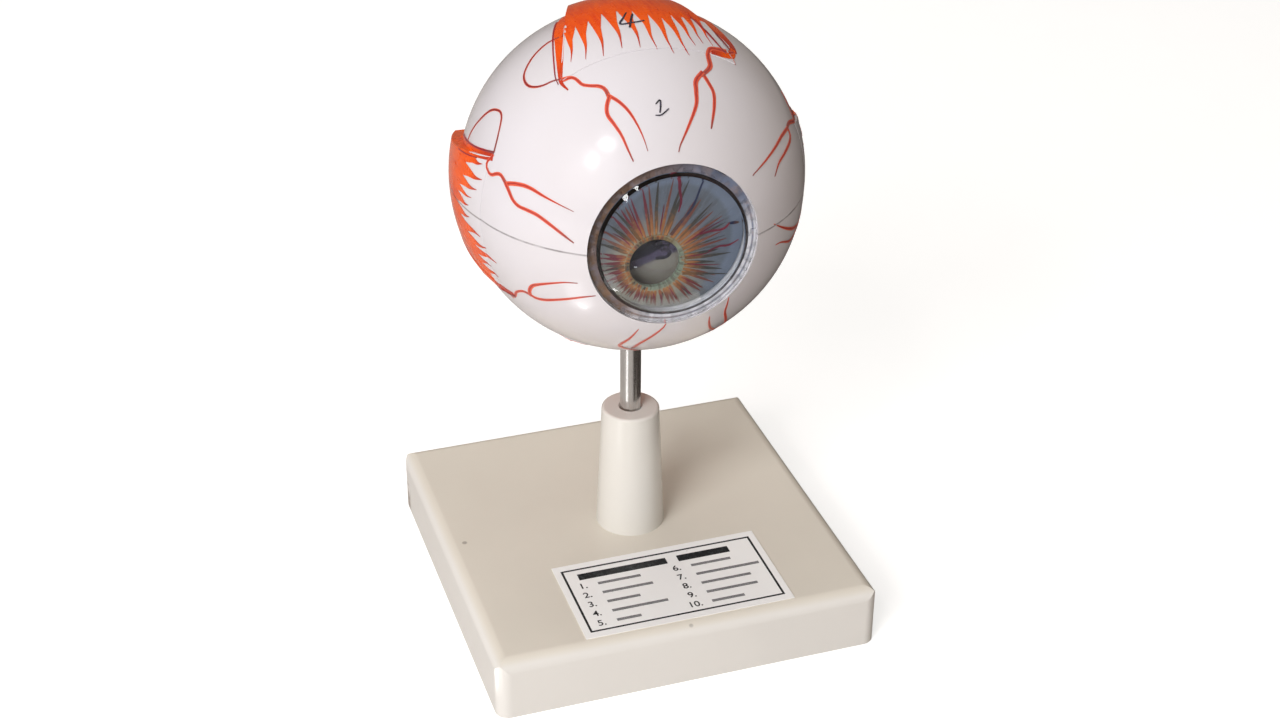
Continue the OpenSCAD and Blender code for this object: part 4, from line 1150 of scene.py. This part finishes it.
class EYE_OT_iris(bpy.types.Operator):
    """Paints the iris: a ground that runs from olive to slate, and rays round the pupil"""
    bl_idname = "eye_model.iris"
    bl_label = "Iris"

    def execute(self, context):
        low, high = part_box("iris")
        self.disc_r = (high.z - low.z) / 2
        self.pupil = EYE + (AXIS * FACE_AT - SIDEWAYS * PUPIL_LEFT - UP * PUPIL_DOWN) * MM
        self.ground()
        self.rays()
        return {"FINISHED"}

    def ground(self):
        paint = colours()
        made = Finish("iris paint", Specular_IOR_Level=0.35)
        about = made.place(self.pupil, turn=(0, 0, -EYE_TURN))
        x, _, z = made.axes(about)
        from_pupil = (span(x, z) - PUPIL_R * MM).math("MAXIMUM", 0.0)
        disc = span(x - PUPIL_LEFT * MM, z - PUPIL_DOWN * MM)
        to_rim = (disc * -1.0 + self.disc_r).math("MAXIMUM", 0.0002)
        share = from_pupil / (from_pupil + to_rim)
        heading = made.terms("ShaderNodeVectorMath", {0: made.joined(x, z)}, operation="NORMALIZE")[0]
        ray_vector = made.joined(*made.axes(heading)[:2], share * 0.16)
        rays = made.noise(ray_vector, 9.0, 5.0, 0.75)
        # Olive near the pupil and at the lower left, slate near the rim and at the upper right
        slope = (x * 0.6 + z) * 22.0
        mottle = (made.noise(ray_vector, 4.0, 2.0) + made.noise(about, 90.0) - 1.0) * 0.5
        edge = (share * 0.7 + slope + mottle).spread(0.0, 0.75)
        ground = made.mix(edge, paint.iris_olive, paint.iris_slate)
        # Bluer at the upper right rim, then darker and warmer streaks, and ochre beside the pupil
        for mask, tone in (
            (disc.spread(0.0205, 0.0225) * (x + z).spread(-0.004, 0.016) * 0.6, (0.17, 0.21, 0.29)),
            (rays.spread(0.52, 0.60) * share.spread(0.5, 0.95, 1.0, 0.25) * 0.6, (0.07, 0.065, 0.055)),
            (rays.spread(0.47, 0.40) * share.spread(0.1, 0.6, 1.0, 0.0) * 0.4, (0.36, 0.17, 0.06)),
            (from_pupil.spread(0.0012, 0.0036, 1.0, 0.0) * 0.35, (0.36, 0.28, 0.13)),
        ):
            ground = made.mix(mask, ground, tone)
        # The raised rim of the pupil
        rim = made.mix((x - z).spread(-0.004, 0.006), (0.20, 0.14, 0.06), (0.20, 0.26, 0.20))
        rim = made.mix(rays.spread(0.46, 0.56) * 0.6, rim, (0.07, 0.05, 0.035))
        made.feed("Base Color", made.mix(from_pupil.spread(0.0009, 0.0018, 1.0, 0.0) * 0.9, ground, rim))
        made.scuffed(about, 0.38, 0.15, 150.0)
        made.bump(rays, 0.0002)
        coat(["iris"], made.material)

    def blade(self, bm, spots, widths, lift):
        """One painted ray through places on the disc, by angle and distance from the pupil's centre."""
        points = []
        for angle, reach in spots:
            a = math.radians(angle)
            points.append(self.pupil + (SIDEWAYS * reach * math.cos(a) + UP * reach * math.sin(a)
                                        + AXIS * lift) * MM)
        ribbon(bm, curve_through(points, 0.8 * MM), widths, lambda p: AXIS, lambda p: p)

    def reach_to_rim(self, angle):
        """Distance in mm from the pupil's centre to the disc's rim at an angle."""
        a = math.radians(angle)
        b = -PUPIL_LEFT * math.cos(a) - PUPIL_DOWN * math.sin(a)
        return -b + math.sqrt(b * b - (PUPIL_LEFT ** 2 + PUPIL_DOWN ** 2) + (self.disc_r / MM - 0.5) ** 2)

    def rays(self):
        draw = random.Random(23)
        sheets = {name: bmesh.new() for name in RAY_TONES}
        count = sizes().strokes
        for k in range(count):
            angle = 360 * (k + draw.uniform(-0.28, 0.28)) / count
            full = self.reach_to_rim(angle) - RIM_R
            upper_left = 95 < angle < 205
            right = angle < 60 or angle > 340
            name = draw.choice(("maroon", "maroon", "rust", "olive") if upper_left else
                               ("rust", "olive", "rust") if right else ("olive", "rust", "maroon", "olive"))
            if 205 <= angle <= 340:
                name = draw.choice(("rust", "rust", "maroon"))
            end = RIM_R + full * (draw.uniform(0.6, 0.9) if right else draw.uniform(0.82, 0.99))
            sway = draw.uniform(-1.6, 1.6)
            middle = (RIM_R + end) / 2
            width = draw.uniform(1.05, 1.55) * (1.0 if upper_left else 0.9)
            self.blade(sheets[name], ((angle, RAY_START), (angle + sway * 0.6, (RAY_START + middle) / 2),
                                      (angle + sway, middle), (angle + sway * 0.4, end)),
                       [width * share for share in LONG_TAPER], 0.03 + 0.02 * (k % 2))
            inner = RIM_R + full * draw.uniform(0.18, 0.36)
            shift = draw.uniform(-1.2, 1.2)
            if k % 3:
                self.blade(sheets["ochre"], ((angle + shift, 10.65), (angle + shift, (10.65 + inner) / 2),
                                             (angle + shift * 0.5, inner)), (0.4, 0.65, 0.6, 0.4, 0.12), 0.07)
            if k % 2 == 0:
                at = angle + 180 / count
                far = RIM_R + full * draw.uniform(0.5, 0.9)
                self.blade(sheets["olive" if k % 4 else "crimson"],
                           ((at, 11.6), (at + sway, (11.6 + far) / 2), (at, far)),
                           (0.2, 0.5, 0.5, 0.4, 0.3, 0.12), 0.09)
        for name, spots, widths in MARKED_RAYS:
            self.blade(sheets[name], spots, widths, 0.12)
        # From above round to the lower left the rays run on over the pupil's rim
        for k in range(count):
            angle = 360 * (k + draw.uniform(-0.3, 0.3)) / count
            if 70 < angle < 258:
                self.blade(sheets[draw.choice(("ochre", "ochre", "rust", "olive"))], (
                    (angle, 10.58), (angle + draw.uniform(-1, 1), 9.9), (angle, 9.15)), (1.0, 0.8, 0.4), 0.43)
        for name, bm in sheets.items():
            made = Finish(f"iris {name}", Specular_IOR_Level=0.35)
            about = made.place(self.pupil)
            blot = made.noise(about, 600.0)
            share = made.stroke()[0] + (blot - 0.5) * 0.8
            made.feed("Base Color", made.mix(share.spread(0.12, 0.6), *RAY_TONES[name]))
            made.scuffed(about, 0.35, 0.15, 200.0)
            made.bump(blot, 0.00006)
            thicken(piece(f"iris_rays_{name}", bm, made.material, "iris"), 0.4)


# ---- Inside the ball ----

RETINA_R = 54.6 * MM                     # radius of the retina's inner face
YELLOW_SPOT = toward(183, -2)            # direction of the spot of sharpest sight
REACHES = (5.6, 10, 17, 26, 36, 46, 56)  # degrees from the nerve's axis along a main vessel


class EYE_OT_linings(bpy.types.Operator):
    """Paints the choroid, the retina with its vessels, and the ciliary ring"""
    bl_idname = "eye_model.linings"
    bl_label = "Linings"

    def execute(self, context):
        paint = colours()
        dark = moulded("choroid paint", paint.choroid, darker(paint.choroid, 0.55), 0.34, EYE, scale=30.0,
                       amount=0.9)
        web = dark.named("ShaderNodeTexVoronoi", {"Vector": dark.vector, "Scale": 130.0},
                         feature="DISTANCE_TO_EDGE")["Distance"]
        veined = dark.mix(web.spread(0.03, 0.10, 1.0, 0.0) * 0.6, dark.patina["Colour"], (0.36, 0.05, 0.03))
        # Its front edge, behind the cornea's seat, is painted nearly black: painted shade in the gap round
        # the iris
        y = dark.axes(dark.place(EYE, turn=(0, 0, -EYE_TURN)))[1]
        dark.feed("Base Color", dark.mix(y.spread(-0.045, -0.043, 1.0, 0.0), veined, (0.02, 0.02, 0.03)))
        coat(["choroid_upper", "choroid_lower"], dark.material)
        self.retina(paint.retina)
        brown = moulded("ciliary paint", (0.085, 0.045, 0.04), (0.035, 0.02, 0.022), 0.36, EYE, scale=60.0)
        coat(["ciliary_ring_upper", "ciliary_ring_lower"], brown.material)
        return {"FINISHED"}

    def retina(self, orange):
        made = moulded("retina paint", orange, darker(orange, 0.72), 0.30, EYE, scale=26.0, amount=0.8)
        gap = made.named("ShaderNodeVectorMath", {0: made.place(), 1: tuple(EYE + YELLOW_SPOT * RETINA_R)},
                         operation="DISTANCE")["Value"]
        ring, pit = gap.spread(0.0025, 0.0075, 1.0, 0.0) * 0.7, gap.spread(0.0004, 0.0018, 1.0, 0.0)
        colour = made.mix(ring, made.patina["Colour"], (0.50, 0.12, 0.035))
        made.feed("Base Color", made.mix(pit, colour, (0.16, 0.02, 0.015)))
        coat(["retina_upper", "retina_lower"], made.material)
        canvas = Canvas(["retina_upper", "retina_lower"], inward=False, reach=RETINA_R)
        for kind, core, tone, shift, seed in (("arteries", (0.42, 0.01, 0.01), (0.62, 0.03, 0.02), 0.0, 11),
                                              ("veins", (0.02, 0.03, 0.16), (0.05, 0.08, 0.32), 0.22, 17)):
            paint_halves(f"retina_{kind}", canvas, self.tree_of_vessels(shift, seed),
                         vessel_paint(f"retina {kind} paint", tone, core),
                         step=1.5, rise=0.01, rises=4, share=0.6)

    def tree_of_vessels(self, shift, seed):
        """Four arcades from the nerve head, each with side branches."""
        draw = random.Random(seed)
        made = []
        for start, curl in ((62, 0.55), (118, -0.55), (242, 0.55), (298, -0.55)):
            angles = [math.radians(start) + shift + curl * (k / 6) ** 1.2 for k in range(len(REACHES))]
            line = [near_nerve(reach, angle + draw.uniform(-0.03, 0.03))
                    for reach, angle in zip(REACHES, angles)]
            made.append((line, (1.3, 1.2, 1.0, 0.8, 0.6, 0.4, 0.15)))
            for k in (1, 2, 3, 4):
                turn = draw.choice((-1, 1))
                length = draw.uniform(10, 20)
                branch = [line[k]]
                for share, off in ((0.35, 0.22), (0.7, 0.42), (1.0, 0.62)):
                    branch.append(near_nerve(min(REACHES[k] + length * share, 58), angles[k] + turn * off))
                made.append((branch, (0.8 - 0.1 * k, 0.6 - 0.08 * k, 0.4 - 0.05 * k, 0.12)))
        return made


class EYE_OT_nerve(bpy.types.Operator):
    """Paints the optic nerve's stump"""
    bl_idname = "eye_model.nerve"
    bl_label = "Optic nerve"

    def execute(self, context):
        sheath = moulded("nerve sheath paint", (0.78, 0.66, 0.38), (0.66, 0.50, 0.26), 0.32, EYE, scale=60.0,
                         amount=0.9)
        coat(["nerve_sheath"], sheath.material)
        fibres = moulded("nerve fibre paint", (0.84, 0.76, 0.50), (0.74, 0.60, 0.34), 0.36, EYE, scale=80.0,
                         amount=0.8)
        dots = fibres.named("ShaderNodeTexVoronoi", {"Vector": fibres.vector, "Scale": 700.0})["Distance"]
        fibres.feed("Base Color", fibres.mix(dots.spread(0.25, 0.6) * 0.5, fibres.patina["Colour"],
                                             (0.58, 0.42, 0.20)))
        fibres.bump(dots, 0.0003)
        coat(["nerve_fibres"], fibres.material)
        ends = Finish("central vessel paint", Specular_IOR_Level=0.45, Coat_Weight=0.3)
        about = ends.place(EYE)
        mottled = ends.noise(about, 900.0)
        red = ends.mix(mottled, (0.62, 0.02, 0.015), (0.36, 0.01, 0.01))
        blue = ends.mix(mottled, (0.03, 0.06, 0.34), (0.02, 0.03, 0.18))
        ends.feed("Base Color", ends.mix(ends.axes(about)[2].math("GREATER_THAN", 0.0), blue, red))
        ends.scuffed(about, 0.3, 0.1, 300.0)
        coat(["central_vessels"], ends.material)
        return {"FINISHED"}


# ---- Add-on ----

STEPS = (EYE_OT_stage, EYE_OT_stand, EYE_OT_label, EYE_OT_metal, EYE_OT_shell, EYE_OT_vessels, EYE_OT_muscles,
         EYE_OT_numerals, EYE_OT_clear, EYE_OT_iris, EYE_OT_linings, EYE_OT_nerve)


class EYE_PT_sidebar(bpy.types.Panel):
    """Lists the eye model's steps and settings"""
    bl_idname = "EYE_PT_sidebar"
    bl_label = "Eye model"
    bl_space_type = "VIEW_3D"
    bl_region_type = "UI"
    bl_category = "Eye model"

    def draw(self, context):
        for holder in (context.scene.eye_sizes, context.scene.eye_colours):
            for key in holder.__annotations__:
                self.layout.prop(holder, key)
        for step in STEPS:
            self.layout.operator(step.bl_idname)


CLASSES = (EyeColours, EyeSizes, *STEPS, EYE_PT_sidebar)


def register():
    for each in CLASSES:
        bpy.utils.register_class(each)
    bpy.types.Scene.eye_colours = bpy.props.PointerProperty(type=EyeColours)
    bpy.types.Scene.eye_sizes = bpy.props.PointerProperty(type=EyeSizes)


def unregister():
    del bpy.types.Scene.eye_sizes
    del bpy.types.Scene.eye_colours
    for each in reversed(CLASSES):
        bpy.utils.unregister_class(each)


def main():
    """Runs every step in order."""
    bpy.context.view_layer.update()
    register()
    for step in STEPS:
        group_name, call = step.bl_idname.split(".")
        getattr(getattr(bpy.ops, group_name), call)()
    bpy.context.view_layer.update()


if __name__ == "__main__":
    main()
